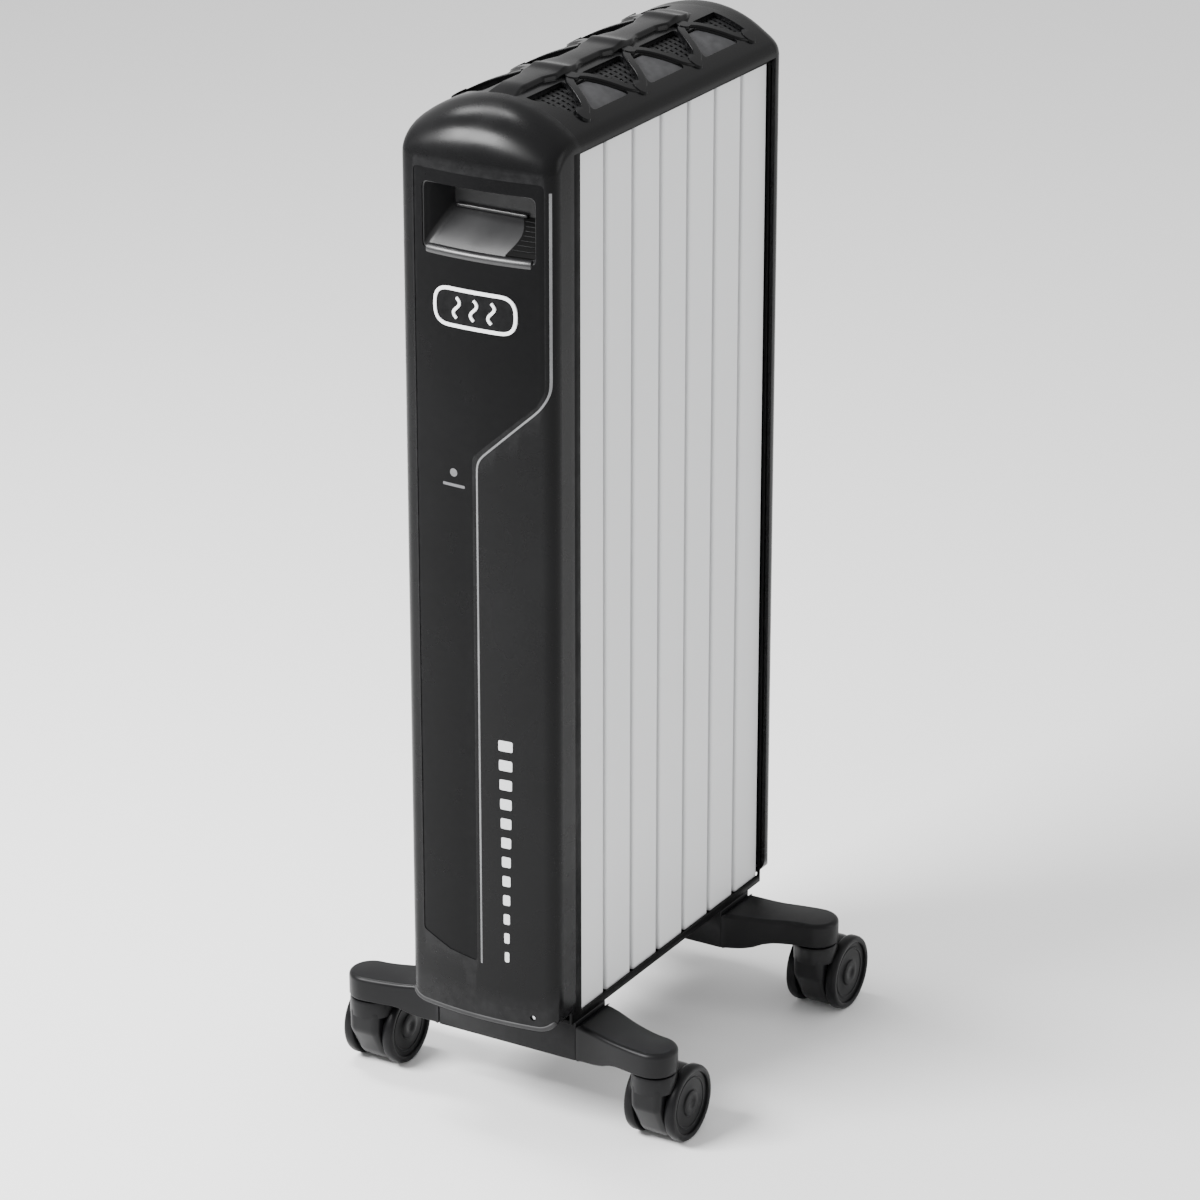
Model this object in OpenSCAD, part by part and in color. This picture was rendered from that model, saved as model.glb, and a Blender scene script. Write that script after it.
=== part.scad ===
// Oil filled radiator heater: seven steel sections between two plastic end
// caps, on two foot bars with four twin-wheel casters.
// X runs along the body with the handle end at -X, Y across it, Z up from
// the floor. Millimetres.

/* [End caps] */
// Half length of the whole heater, from the handle end to the rear wheels
half_len = 148; // [148:0.5:149]
// Half width over the end caps
cap_half_w = 54; // [54:0.1:54.4]
// Underside of the end caps above the floor
cap_bottom = 77; // [76.5:0.1:78]
// Crown of the end caps above the floor
crown_z = 669; // [667:0.5:671]
// Wall of the caps and of the top cover
wall = 3.2; // [3.2:0.05:3.3]
// Radius of the shallow bow across an end face
bow_r = 230; // [200:5:300]
// Radius of the arch across the top
arch_r = 80; // [78:0.5:84]
// Radius of the vertical edges and of the eaves
edge_r = 10; // [9:0.25:11]
// Radius of the dome where the front face turns into the top
dome_r = 36; // [30:1:40]

/* [Sections] */
// Number of steel sections
fin_count = 7; // [7:1:7]
// Distance from one section to the next
fin_pitch = 33.5; // [33.4:0.05:33.6]
// Gap between the flat flanges of two neighbours
slat_gap = 2.4; // [1.5:0.1:4]
// Outer face of the flanges from the middle plane
slat_face = 48.6; // [48.4:0.05:48.7]
// Underside and top of the flanges
slat_z = [77, 640];
// Heights of the lower and upper oil galleries
gallery_z = [150, 555];
// Outside and inside diameter of a gallery hub
hub_d = [40, 28];

/* [Top cover] */
// Half width of the raised spine
spine_half_w = 12; // [10:0.5:13]
// Top of the raised spine
spine_z = 674; // [672:0.5:676]
// Distance between two bars of the mesh
mesh_pitch = 5.6; // [5:0.1:8]

/* [Feet] */
// Distance of the caster stems from the middle plane
track_half = 105; // [104:0.5:108]
// Place of the front and rear stems along the body
stem_x = [-108, 106];
// Radius of a leg's round knuckle
knuckle_r = 15; // [14.5:0.1:15.5]
// Underside and top of a knuckle
knuckle_z = [52.5, 69];
// Wheel radius
wheel_r = 25; // [25:0.1:25.2]
// Wheel width
wheel_w = 7; // [6:0.25:7.5]
// Distance of the axle behind the stem
trail = 17; // [16:0.5:17]

/* [Controls] */
// Push button diameter
button_d = 13; // [11:0.5:13.5]
// Push button travel
button_travel = 1.5; // [1:0.1:1.6]

/* [Hidden] */
front_x = 1 - half_len;
rear_x = 144;
eave_z = 641;                 // lower edge of the cover's side skirts
cap_back_x = -118;            // rear edge of the front cap beside the slats
seam_x = [-112, 122];         // where the top cover meets the two caps
rear_flange_x = 127.6;        // front edge of the rear cap beside the slats
fin_x0 = -106 + fin_pitch / 2;
function fin_x(i) = fin_x0 + i * fin_pitch;
fin_end = [fin_x(0) - fin_pitch / 2, fin_x(fin_count - 1) + fin_pitch / 2];
frame_y = [49, 51];           // inner and outer face of the side frames
rod_yz = [for (y = [-30, 30], z = [110, 520]) [y, z]];
bar_len = 37.7;               // size of a foot bar along the body
bar_z = [46, 73];
bar_x = [-113.7, stem_x[0] + stem_x[1] + 113.7 - bar_len];
pocket_y = [-42, 35];         // the handle pocket's opening
pocket_z = [578, 619];
pocket_back_x = -120.7;
pocket_seam_z = 568;          // where its surround meets the inset panel
slack = 0.05;                 // running clearance on a shaft, on the radius
gap = 0.3;                    // clearance round a button or rocker
hood_half_w = 11;
hood_top = knuckle_z[0] - 0.8;
pivot_z = 94;                 // pin of the tilt pendulum
tilt_x = (fin_x(2) + fin_x(3)) / 2;
rocker_z = 430;
rocker_x = 138;               // pin of the mains rocker
rocker_tilt = 8;
gland_z = 108;
button_yz = [[0, 522], [13, 552], [-13, 552]];
big = 400;

CORNERS = ["front_left", "front_right", "rear_left", "rear_right"];

// ---- outlines -------------------------------------------------------

// A shallow bow of radius big_r with its crown at v = crown, rounded with
// radius r into two straight sides at u = +-half_w, moved inwards by inset.
function bow(half_w, crown, big_r, r, inset) =
    let (lift = sqrt(pow(big_r - r, 2) - pow(half_w - r, 2)),
         turn = atan2(lift, half_w - r),
         base = crown - big_r)
    concat(
        [for (k = [0:6]) let (a = turn * k / 6)
            [half_w - r + (r - inset) * cos(a), base + lift + (r - inset) * sin(a)]],
        [for (k = [1:15]) let (a = turn + (180 - 2 * turn) * k / 16)
            [(big_r - inset) * cos(a), base + (big_r - inset) * sin(a)]],
        [for (k = [6:-1:0]) let (a = turn * k / 6)
            [r - half_w - (r - inset) * cos(a), base + lift + (r - inset) * sin(a)]]
    );

// The arch across the body, seen from the end, down to z = low.
function arch_pts(inset, low) =
    concat(bow(cap_half_w, crown_z, arch_r, edge_r, inset),
        [[inset - cap_half_w, low], [cap_half_w - inset, low]]);

module along_x(x0, x1) {
    translate([x0, 0, 0]) rotate([90, 0, 90]) linear_extrude(x1 - x0) children();
}

module along_y(y0, y1) {
    translate([0, y1, 0]) rotate([90, 0, 0]) linear_extrude(y1 - y0) children();
}

module box(x, y, z) {
    translate([x[0], y[0], z[0]]) cube([x[1] - x[0], y[1] - y[0], z[1] - z[0]]);
}

module rod_x(x, y, z, d) {
    translate([x[0], y, z]) rotate([0, 90, 0]) cylinder(h = x[1] - x[0], d = d, $fn = 48);
}

module rod_y(y, x, z, d) {
    translate([x, y[0], z]) rotate([-90, 0, 0]) cylinder(h = y[1] - y[0], d = d, $fn = 64);
}

module round_rect(size, r) {
    for (sx = [-1, 1], sy = [-1, 1])
        translate([sx * (size[0] / 2 - r), sy * (size[1] / 2 - r)]) circle(r, $fn = 32);
    square([size[0] - 2 * r, size[1]], center = true);
    square([size[0], size[1] - 2 * r], center = true);
}

// ---- end caps -------------------------------------------------------

// Plan of an end cap whose face is at x = tip and which runs back to x = back.
module cap_plan(tip, back, inset) {
    s = tip < back ? 1 : -1;
    pts = bow(cap_half_w, -s * tip, bow_r, edge_r, inset);
    polygon(concat([for (p = pts) [-s * p[1], p[0]]],
        [[back, inset - cap_half_w], [back, cap_half_w - inset]]));
}

// Side outline: straight face, rounded into the crown with radius r.
module cap_side(tip, back, r, inset) {
    s = tip < back ? 1 : -1;
    polygon(concat(
        [[back, cap_bottom + inset], [tip + s * inset, cap_bottom + inset]],
        [for (k = [0:12]) let (a = 90 * k / 12)
            [tip + s * (r - (r - inset) * cos(a)), crown_z - r + (r - inset) * sin(a)]],
        [[back, crown_z - inset]]));
}

// Arch outline of a cap with rounded lower corners.
module cap_arch(inset) {
    r = 10;
    pts = bow(cap_half_w, crown_z, arch_r, edge_r, inset);
    polygon(concat(pts,
        [for (k = [0:8]) let (a = 180 + 90 * k / 8)
            [r - cap_half_w + (r - inset) * cos(a), cap_bottom + r + (r - inset) * sin(a)]],
        [for (k = [0:8]) let (a = 270 + 90 * k / 8)
            [cap_half_w - r + (r - inset) * cos(a), cap_bottom + r + (r - inset) * sin(a)]]));
}

module cap_solid(tip, back, r, inset) {
    x = [min(tip, back) - 5, max(tip, back) + 5];
    intersection() {
        linear_extrude(crown_z + 10) cap_plan(tip, back, inset);
        along_x(x[0], x[1]) cap_arch(inset);
        along_y(-cap_half_w - 5, cap_half_w + 5) cap_side(tip, back, r, inset);
    }
}

module front_solid(inset) {
    cap_solid(front_x, seam_x[0] + 40, dome_r, inset);
}

module rear_solid(inset) {
    cap_solid(rear_x, seam_x[0], edge_r + 2, inset);
}

// Front outline of the inset panel, drawn in Y and Z, with its diagonal step.
module inset_outline() {
    polygon([[43, 128], [20, 119], [-1, 116], [-1, 447], [-5, 455], [-44, 491],
        [-48, 497], [-49, 504], [-49, 625], [-46, 629], [40, 629], [43, 626]]);
}

module pocket_opening(grow) {
    c = [(pocket_y[0] + pocket_y[1]) / 2, (pocket_z[0] + pocket_z[1]) / 2];
    size = [pocket_y[1] - pocket_y[0] + 2 * grow, pocket_z[1] - pocket_z[0] + 2 * grow];
    translate(c) round_rect(size, 3 + grow);
}

// Hole in the cap that the pocket's scoop passes through.
module pocket_seat() {
    translate([-46, 572]) square([85.5, 53.5]);
}

module front_cap() {
    ledge = 1.8;
    color("#1b1b1d") difference() {
        intersection() {
            front_solid(0);
            union() {
                box([-big, cap_back_x], [-big, big], [0, 2 * big]);
                box([-big, seam_x[0]], [-big, big], [eave_z, 2 * big]);
            }
        }
        difference() {
            front_solid(wall);
            for (p = rod_yz) rod_x([-big, cap_back_x], p[0], p[1], 11);
        }
        difference() {
            along_x(-big, -125) offset(r = 0.7) inset_outline();
            front_solid(ledge);
        }
        along_x(-big, -125) pocket_seat();
        // blind hole of the small fixing screw
        rod_x([-big, -139], -38, 86, 3);
    }
}

// Skin of the inset panel between two heights, with the pocket's mouth.
module inset_skin(z) {
    difference() {
        intersection() {
            along_x(-big, -125) inset_outline();
            front_solid(0.4);
            box([-big, big], [-big, big], z);
        }
        front_solid(1.8);
        along_x(-big, -125) pocket_opening(0);
    }
}

module front_inset() {
    color("#161618") inset_skin([0, pocket_seam_z]);
}

// Finger scoop, moulded with its surround, which carries on the inset panel.
module handle_pocket() {
    t = 2;
    y = [pocket_y[0] - t, pocket_y[1] + t];
    color("#242427") {
        inset_skin([pocket_seam_z, big]);
        difference() {
            intersection() {
                box([-big, pocket_back_x + t], y, [pocket_z[0] - t, pocket_z[1] + t]);
                front_solid(1.2);
            }
            along_y(pocket_y[0], pocket_y[1])
                polygon([[-big, pocket_z[1]], [pocket_back_x, pocket_z[1]],
                    [pocket_back_x, 600], [-140, pocket_z[0] + 2], [-143, pocket_z[0]],
                    [-big, pocket_z[0]]]);
        }
    }
}

// Plain rounded plate with three raised heat waves.
module badge() {
    c = [-2, 545];
    wave = [for (k = [0:12]) [2.2 * sin(k * 30), k - 6]];
    color("#c9ccd0") {
        intersection() {
            along_x(-big, -125) translate(c) round_rect([52, 22], 5);
            difference() {
                front_solid(-0.5);
                front_solid(0.4);
            }
        }
        intersection() {
            along_x(-big, -125) translate(c) for (k = [-1:1]) translate([10 * k, 0])
                polygon(concat([for (p = wave) p + [-1, 0]],
                    [for (k = [12:-1:0]) wave[k] + [1, 0]]));
            difference() {
                front_solid(-1);
                front_solid(-0.5);
            }
        }
    }
}

// Generic printed marks: a dot and a dash, and a column of bars.
module accent_marks() {
    color("#d7d9db") intersection() {
        along_x(-big, -125) {
            translate([14, 440]) circle(3, $fn = 32);
            translate([14, 432]) square([16, 1.6], center = true);
            for (k = [0:11]) translate([-21, 125 + 13 * k])
                square([3 + 0.6 * k, 7], center = true);
        }
        difference() {
            front_solid(-0.3);
            front_solid(0);
            along_x(-big, -125) inset_outline();
        }
    }
    color("#d7d9db") intersection() {
        along_x(-big, -125) {
            translate([14, 440]) circle(3, $fn = 32);
            translate([14, 432]) square([16, 1.6], center = true);
        }
        difference() {
            front_solid(0);
            front_solid(0.4);
        }
    }
}

module rear_cap() {
    color("#1b1b1d") difference() {
        intersection() {
            rear_solid(0);
            union() {
                box([rear_flange_x, big], [-big, big], [0, 2 * big]);
                box([seam_x[1], big], [-big, big], [eave_z, 2 * big]);
            }
        }
        difference() {
            rear_solid(wall);
            for (p = rod_yz) rod_x([rear_flange_x, big], p[0], p[1], 11);
            for (y = [-18, 18], z = [500, 610]) rod_x([133, big], y, z, 6);
        }
        for (p = button_yz) rod_x([130, big], p[0], p[1], button_d + 2 * gap);
        along_x(130, big) translate([0, 590]) square([36, 20], center = true);
        along_x(130, big) translate([0, rocker_z]) square([22, 28.4], center = true);
        rod_x([130, big], 0, gland_z, 14);
    }
}

// Cheeks that carry the rocker's pin, behind the opening in the rear cap.
module rocker_frame() {
    color("#1b1b1d") difference() {
        intersection() {
            for (y = [-14, 11]) box([133.5, 150], [y, y + 3], [rocker_z - 11, rocker_z + 11]);
            rear_solid(wall);
        }
        rod_y([-20, 20], rocker_x, rocker_z, 3 + 2 * slack);
    }
}

module control_fascia() {
    color("#2a2a2d") difference() {
        intersection() {
            along_x(130, big) translate([0, 565]) round_rect([56, 124], 8);
            rear_solid(-1.6);
        }
        rear_solid(0);
        for (p = button_yz) rod_x([130, big], p[0], p[1], button_d + 2 * gap);
        along_x(130, big) translate([0, 590]) square([38, 22], center = true);
    }
}

module display_window() {
    color("#30383a") difference() {
        intersection() {
            along_x(130, big) translate([0, 590]) square([38, 22], center = true);
            rear_solid(-1.2);
        }
        rear_solid(0);
    }
}

// A push button with a collar behind the cap's wall.
module button(i) {
    p = button_yz[i];
    color("#8d9094") {
        rod_x([139, 146.8], p[0], p[1], button_d);
        rod_x([137, 139], p[0], p[1], button_d + 4);
    }
}

// Tipped to its off side; it turns about a pin across the heater.
module mains_rocker() {
    color("#7c1f1c") {
        translate([rocker_x, 0, rocker_z]) rotate([0, rocker_tilt, 0])
            along_y(-10.5, 10.5) polygon([[-3.5, -12], [6, -12.5], [7.6, -12.5], [6.4, 0],
                [7.6, 12.5], [6, 12.5], [-3.5, 12]]);
        rod_y([-13.5, 13.5], rocker_x, rocker_z, 3);
    }
}

module cord_gland() {
    color("#1b1b1d") difference() {
        union() {
            rod_x([134, 147.5], 0, gland_z, 14);
            rod_x([rear_x, 146], 0, gland_z, 20);
        }
        rod_x([130, big], 0, gland_z, 8);
    }
}

module control_board() {
    color("#1f5a35") {
        box([131.4, 133], [-24, 24], [492, 618]);
        for (z = [579, 597]) box([133, 137], [-12, 12], [z, z + 13]);
    }
}

module terminal_block() {
    color("#e4e0d0") intersection() {
        box([131, 150], [-20, 20], [340, 356]);
        rear_solid(wall);
    }
}

// ---- oil radiator ---------------------------------------------------

// One section: pressed web, flat flanges left and right, flat oil ducts and
// the two gallery hubs that meet those of the neighbours face to face.
module section(i) {
    t = 1.2;
    half = (fin_pitch - slat_gap) / 2;
    duct = [14, 16];
    color("#e9eaeb") translate([fin_x(i), 0, 0]) difference() {
        union() {
            for (s = [-1, 1]) {
                f = [s * slat_face, s * (slat_face - t), s * (slat_face - 5)];
                box([-half, half], [min(f[0], f[1]), max(f[0], f[1])], slat_z);
                for (e = [-1, 1])
                    box([e > 0 ? half - t : -half, e > 0 ? half : t - half],
                        [min(f[0], f[2]), max(f[0], f[2])], slat_z);
            }
            box([-t, t], [0.5 - slat_face, slat_face - 0.5], [100, 608]);
            for (z = gallery_z) rod_x([-fin_pitch / 2, fin_pitch / 2], 0, z, hub_d[0]);
            box([-duct[0] / 2, duct[0] / 2], [-duct[1] / 2, duct[1] / 2], gallery_z);
            for (y = [-30, 30]) box([-3, 3], [y - 4, y + 4], [gallery_z[0] + 5, 505]);
        }
        for (z = gallery_z) rod_x([-fin_pitch, fin_pitch], 0, z, hub_d[1]);
        box([2 - duct[0] / 2, duct[0] / 2 - 2], [2 - duct[1] / 2, duct[1] / 2 - 2], gallery_z);
        for (p = rod_yz) rod_x([-5, 5], p[0], p[1], 6);
    }
}

module oil_plugs() {
    color("#b6babd") {
        for (z = gallery_z) {
            rod_x([fin_end[0] - 2, fin_end[0]], 0, z, 36);
            rod_x([fin_end[0], fin_end[0] + 6], 0, z, hub_d[1]);
            translate([fin_end[0] - 6, 0, z]) rotate([0, 90, 0]) cylinder(h = 4, d = 16, $fn = 6);
        }
        rod_x([fin_end[1], fin_end[1] + 2], 0, gallery_z[1], 36);
        rod_x([fin_end[1] - 6, fin_end[1]], 0, gallery_z[1], hub_d[1]);
    }
}

// Hairpin of two rods joined by a half ring, inside the lower gallery.
module heating_element() {
    bend = 6.5;
    color("#8a8178") {
        for (s = [-1, 1]) rod_x([-80, 136], s * bend, gallery_z[0], 8);
        translate([-80, 0, gallery_z[0]]) rotate([0, 0, 90])
            rotate_extrude(angle = 180, $fn = 64) translate([bend, 0]) circle(d = 8, $fn = 32);
    }
}

module element_flange() {
    color("#a9adb0") difference() {
        rod_x([fin_end[1], fin_end[1] + 4], 0, gallery_z[0], 50);
        for (s = [-1, 1]) rod_x([0, big], s * 6.5, gallery_z[0], 8);
    }
}

module thermal_cutout() {
    x = fin_x(fin_count - 1) + 1.2;
    color("#d8d3c2") {
        rod_x([x, x + 6], 14.5, 330, 12);
        for (y = [10, 18]) box([x + 6, x + 9], [y, y + 1], [328, 332]);
    }
}

module tie_rods() {
    color("#9aa0a4") for (p = rod_yz) rod_x([cap_back_x, rear_flange_x], p[0], p[1], 6);
}

// ---- cover, frames and pan -------------------------------------------

// Band of the arch between two insets, above z = low.
module arch_shell(x0, x1, outer, inner, low) {
    along_x(x0, x1) difference() {
        polygon(arch_pts(outer, low));
        polygon(arch_pts(inner, low - 1));
    }
}

// Plan of the V-shaped opening above section i, on the side s.
module vee(i, s) {
    polygon([[fin_x(i) - 25, s * 14.5], [fin_x(i) + 25, s * 14.5],
        [fin_x(i) + 7, s * 38], [fin_x(i) - 7, s * 38]]);
}

// Plan of the closed pane between two openings, above section i.
module pane(i, s) {
    polygon([[fin_x(i) - 5, s * 21], [fin_x(i) + 5, s * 21],
        [fin_x(i) + 23, s * 43], [fin_x(i) - 23, s * 43]]);
}

module top_cover() {
    color("#1e1e20") difference() {
        union() {
            arch_shell(seam_x[0], seam_x[1], 0, wall, eave_z);
            intersection() {
                along_x(seam_x[0], 104) polygon([[-spine_half_w, crown_z - 3.1],
                    [spine_half_w, crown_z - 3.1], [spine_half_w, spine_z - 2],
                    [spine_half_w - 2, spine_z], [2 - spine_half_w, spine_z],
                    [-spine_half_w, spine_z - 2]]);
                along_y(-20, 20) polygon([[seam_x[0], 0], [seam_x[0], spine_z],
                    [92, spine_z], [104, crown_z - 1.5], [104, 0]]);
            }
        }
        for (s = [-1, 1]) {
            intersection() {
                linear_extrude(big * 2) for (i = [0:2:6]) vee(i, s);
                box([seam_x[0] + 4, seam_x[1] - 5], [-big, big], [0, 2 * big]);
            }
            intersection() {
                translate([0, 0, 600]) linear_extrude(100) for (i = [1:2:5]) pane(i, s);
                along_x(-big, big) difference() {
                    translate([-60, 600]) square([120, 100]);
                    polygon(arch_pts(1.2, 590));
                }
            }
        }
    }
}

module top_mesh() {
    x = [seam_x[0] + 1, seam_x[1] - 1];
    count = floor((x[1] - x[0] - 8) / mesh_pitch);
    color("#2b2b2e") difference() {
        intersection() {
            arch_shell(x[0], x[1], wall, wall + 1.6, 600);
            box([-big, big], [-42, 42], [600, 700]);
        }
        for (k = [0:count - 1], s = [-1, 1])
            box([x[0] + 5 + k * mesh_pitch, x[0] + 8.2 + k * mesh_pitch],
                s > 0 ? [15, 39] : [-39, -15], [600, 700]);
    }
}

module side_frame(s) {
    y = s > 0 ? frame_y : [-frame_y[1], -frame_y[0]];
    color("#19191b") along_y(y[0], y[1]) difference() {
        translate([cap_back_x, bar_z[1]])
            square([rear_flange_x - cap_back_x, eave_z - bar_z[1]]);
        translate([-105.7, 78]) square([126 + 105.7, 638 - 78]);
    }
}

module base_pan() {
    color("#232325") difference() {
        box([cap_back_x, rear_flange_x], [-frame_y[0], frame_y[0]], [bar_z[1], 76]);
        for (i = [0:fin_count - 2], s = [-1, 1]) if (i != 2)
            translate([fin_x(i) + fin_pitch / 2, s * 20, 60]) linear_extrude(30)
                round_rect([14, 26], 6);
    }
}

// U-shaped bracket for the pendulum of the tilt switch.
module tilt_switch() {
    color("#d9d4c4") difference() {
        union() {
            box([tilt_x - 9, tilt_x + 9], [-13, 13], [76, 78]);
            for (y = [-13, 11]) box([tilt_x - 6, tilt_x + 6], [y, y + 2], [78, 98]);
        }
        rod_y([-20, 20], tilt_x, pivot_z, 3 + 2 * slack);
    }
}

module tilt_pendulum() {
    color("#b08d3c") {
        rod_y([-12.8, 12.8], tilt_x, pivot_z, 3);
        rod_y([-6, 6], tilt_x, pivot_z - 9, 8);
        box([tilt_x - 1.2, tilt_x + 1.2], [-4, 4], [pivot_z - 9, pivot_z]);
    }
}

// ---- feet and casters --------------------------------------------------

module foot_bar(x0) {
    t = 3;
    color("#1d1d1f") difference() {
        box([x0, x0 + bar_len], [-frame_y[1], frame_y[1]], bar_z);
        box([x0 + t, x0 + bar_len - t], [t - frame_y[1], frame_y[1] - t],
            [bar_z[0] - 1, bar_z[1] - t]);
    }
}

// A leg on side s whose straight face is on the end e of the heater.
module leg(end, s) {
    e = end == 0 ? 1 : -1;
    root = e * (113.7 - 108);
    y0 = frame_y[1];
    color("#202022") translate([stem_x[end], 0, 0]) scale([e, s, 1]) difference() {
        intersection() {
            linear_extrude(100) hull() {
                translate([-root * e, y0]) square([bar_len, 0.1]);
                translate([0, track_half]) circle(knuckle_r, $fn = 64);
            }
            along_x(-50, 50) polygon([[y0, bar_z[0]], [y0 + 13, bar_z[0] + 1],
                [y0 + 20, bar_z[0] + 2.4], [y0 + 26, bar_z[0] + 5],
                [y0 + 32, knuckle_z[0] - 0.2], [y0 + 37, knuckle_z[0]], [200, knuckle_z[0]],
                [200, knuckle_z[1]], [y0 + 14, knuckle_z[1]], [y0, knuckle_z[1] + 2]]);
        }
        translate([0, track_half, 0]) cylinder(h = 66, d = 8, $fn = 48);
    }
}

module caster_stems() {
    color("#a4a8ab") for (x = stem_x, s = [-1, 1]) translate([x, s * track_half, 0]) {
        translate([0, 0, 34]) cylinder(h = 32, d = 8, $fn = 48);
        translate([0, 0, hood_top + 0.2]) cylinder(h = 0.6, d = 20, $fn = 48);
    }
}

// Hood of a caster, drawn about its stem: a round neck on a curved drum.
module hood(x, y) {
    r = wheel_r - 1.2;
    color("#232326") translate([x, y, 0]) difference() {
        union() {
            translate([0, 0, 40]) cylinder(h = hood_top - 40, r = knuckle_r - 0.4, $fn = 64);
            along_y(-hood_half_w, hood_half_w) hull() {
                translate([trail, wheel_r]) circle(r, $fn = 64);
                translate([-9, 27]) circle(4, $fn = 32);
                translate([-9, hood_top - 5]) circle(4, $fn = 32);
            }
        }
        translate([0, 0, 33]) cylinder(h = 60, r = 4 + slack, $fn = 48);
        rod_y([-50, 50], trail, wheel_r, 5);
        // room for the two wheels under the neck
        for (y = [[-50, -hood_half_w], [hood_half_w, 50]])
            rod_y(y, trail, wheel_r, 2 * (wheel_r + 0.6));
    }
}

module axle(x, y) {
    half = hood_half_w + gap + wheel_w - 2;
    color("#a4a8ab") rod_y([y - half, y + half], x + trail, wheel_r, 5);
}

// A wheel on side s of its hood: round tread, dished outer face, blind bore.
module wheel(x, y, s) {
    w = wheel_w;
    inner = hood_half_w + gap;
    color("#26262a") translate([x + trail, y + s * inner, wheel_r])
        rotate([-90 * s, 0, 0]) difference() {
            rotate_extrude($fn = 96) polygon([[0, 0], [wheel_r - 1, 0], [wheel_r, 1],
                [wheel_r, w - 2], [wheel_r - 2, w], [wheel_r - 5, w], [wheel_r - 6, w - 1.5],
                [7, w - 2], [6, w - 0.6], [0, w - 0.6]]);
            translate([0, 0, -1]) cylinder(h = w - 0.8, r = 2.5 + slack, $fn = 48);
        }
}

module screws() {
    color("#b9bcc0") {
        rod_x([-142.9, -139], -38, 86, 3);
        for (x = bar_x, y = [-38, 38]) translate([x + bar_len / 2, y, bar_z[1] - 5])
            cylinder(h = 2, d = 8, $fn = 32);
    }
}

// ---- the heater ----------------------------------------------------------

function stem_of(c) = [stem_x[floor(c / 2)], track_half * (c % 2 == 0 ? 1 : -1)];

front_cap();
front_inset();
handle_pocket();
badge();
accent_marks();
side_frame(1);  // side_frame_left
side_frame(-1);  // side_frame_right
top_cover();
top_mesh();
rear_cap();
control_fascia();
display_window();
button(0);  // button_power
button(1);  // button_up
button(2);  // button_down
mains_rocker();
rocker_frame();
cord_gland();
control_board();
terminal_block();
thermal_cutout();
heating_element();
element_flange();
oil_plugs();
tie_rods();
base_pan();
tilt_switch();
tilt_pendulum();
foot_bar(bar_x[0]);  // front_foot_bar
foot_bar(bar_x[1]);  // rear_foot_bar
caster_stems();
screws();
for (i = [0:fin_count - 1])
    section(i);
for (c = [0:3]) {
    p = stem_of(c);
    s = sign(p[1]);
    leg(floor(c / 2), s);
    hood(p[0], p[1]);
    axle(p[0], p[1]);
    wheel(p[0], p[1], 1);
    wheel(p[0], p[1], -1);
}
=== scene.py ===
"""Looks of the oil filled radiator heater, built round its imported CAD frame."""
import math

import bmesh
import bpy
from mathutils import Matrix, Vector


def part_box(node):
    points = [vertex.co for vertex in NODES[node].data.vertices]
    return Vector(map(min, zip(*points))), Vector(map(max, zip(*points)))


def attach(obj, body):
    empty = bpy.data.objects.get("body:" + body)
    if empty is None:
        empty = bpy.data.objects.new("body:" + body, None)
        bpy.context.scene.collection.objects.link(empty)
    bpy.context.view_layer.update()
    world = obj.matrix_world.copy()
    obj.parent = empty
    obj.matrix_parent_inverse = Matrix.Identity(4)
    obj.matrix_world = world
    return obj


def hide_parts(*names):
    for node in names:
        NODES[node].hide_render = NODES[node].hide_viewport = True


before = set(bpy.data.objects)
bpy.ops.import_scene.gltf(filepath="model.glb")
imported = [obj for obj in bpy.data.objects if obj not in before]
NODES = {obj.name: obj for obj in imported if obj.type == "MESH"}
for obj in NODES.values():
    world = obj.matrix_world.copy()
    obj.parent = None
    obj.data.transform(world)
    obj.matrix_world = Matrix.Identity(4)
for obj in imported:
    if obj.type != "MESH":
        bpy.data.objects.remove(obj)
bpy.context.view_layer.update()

MM = 0.001
MERGE = 2e-6         # points closer than this, in metres, become one
HEATER = "heater"

# ---- camera ------------------------------------------------------------

CAMERA_AZIMUTH, CAMERA_ELEVATION = -59.465, 21.957
CAMERA_DISTANCE = 3.038
CAMERA_LENS = 143.8
CAMERA_TARGET = Vector((0.0008, -0.0014, 0.3095))
SENSOR_WIDTH = 36
CLIP_NEAR, CLIP_FAR = 0.05, 50


def add_camera():
    a, e = math.radians(CAMERA_AZIMUTH), math.radians(CAMERA_ELEVATION)
    back = Vector((math.sin(a) * math.cos(e), -math.cos(a) * math.cos(e), math.sin(e)))
    data = bpy.data.cameras.new("camera")
    data.sensor_width, data.lens = SENSOR_WIDTH, CAMERA_LENS
    data.clip_start, data.clip_end = CLIP_NEAR, CLIP_FAR
    cam = bpy.data.objects.new("camera", data)
    bpy.context.scene.collection.objects.link(cam)
    cam.location = CAMERA_TARGET + back * CAMERA_DISTANCE
    cam.rotation_mode = "QUATERNION"
    cam.rotation_quaternion = (-back).to_track_quat("-Z", "Y")
    bpy.context.scene.camera = cam


add_camera()

# ---- sizes in millimetres, from the CAD boxes ----------------------------


def mm_box(node):
    low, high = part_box(node)
    return [v / MM for v in low], [v / MM for v in high]


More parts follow.
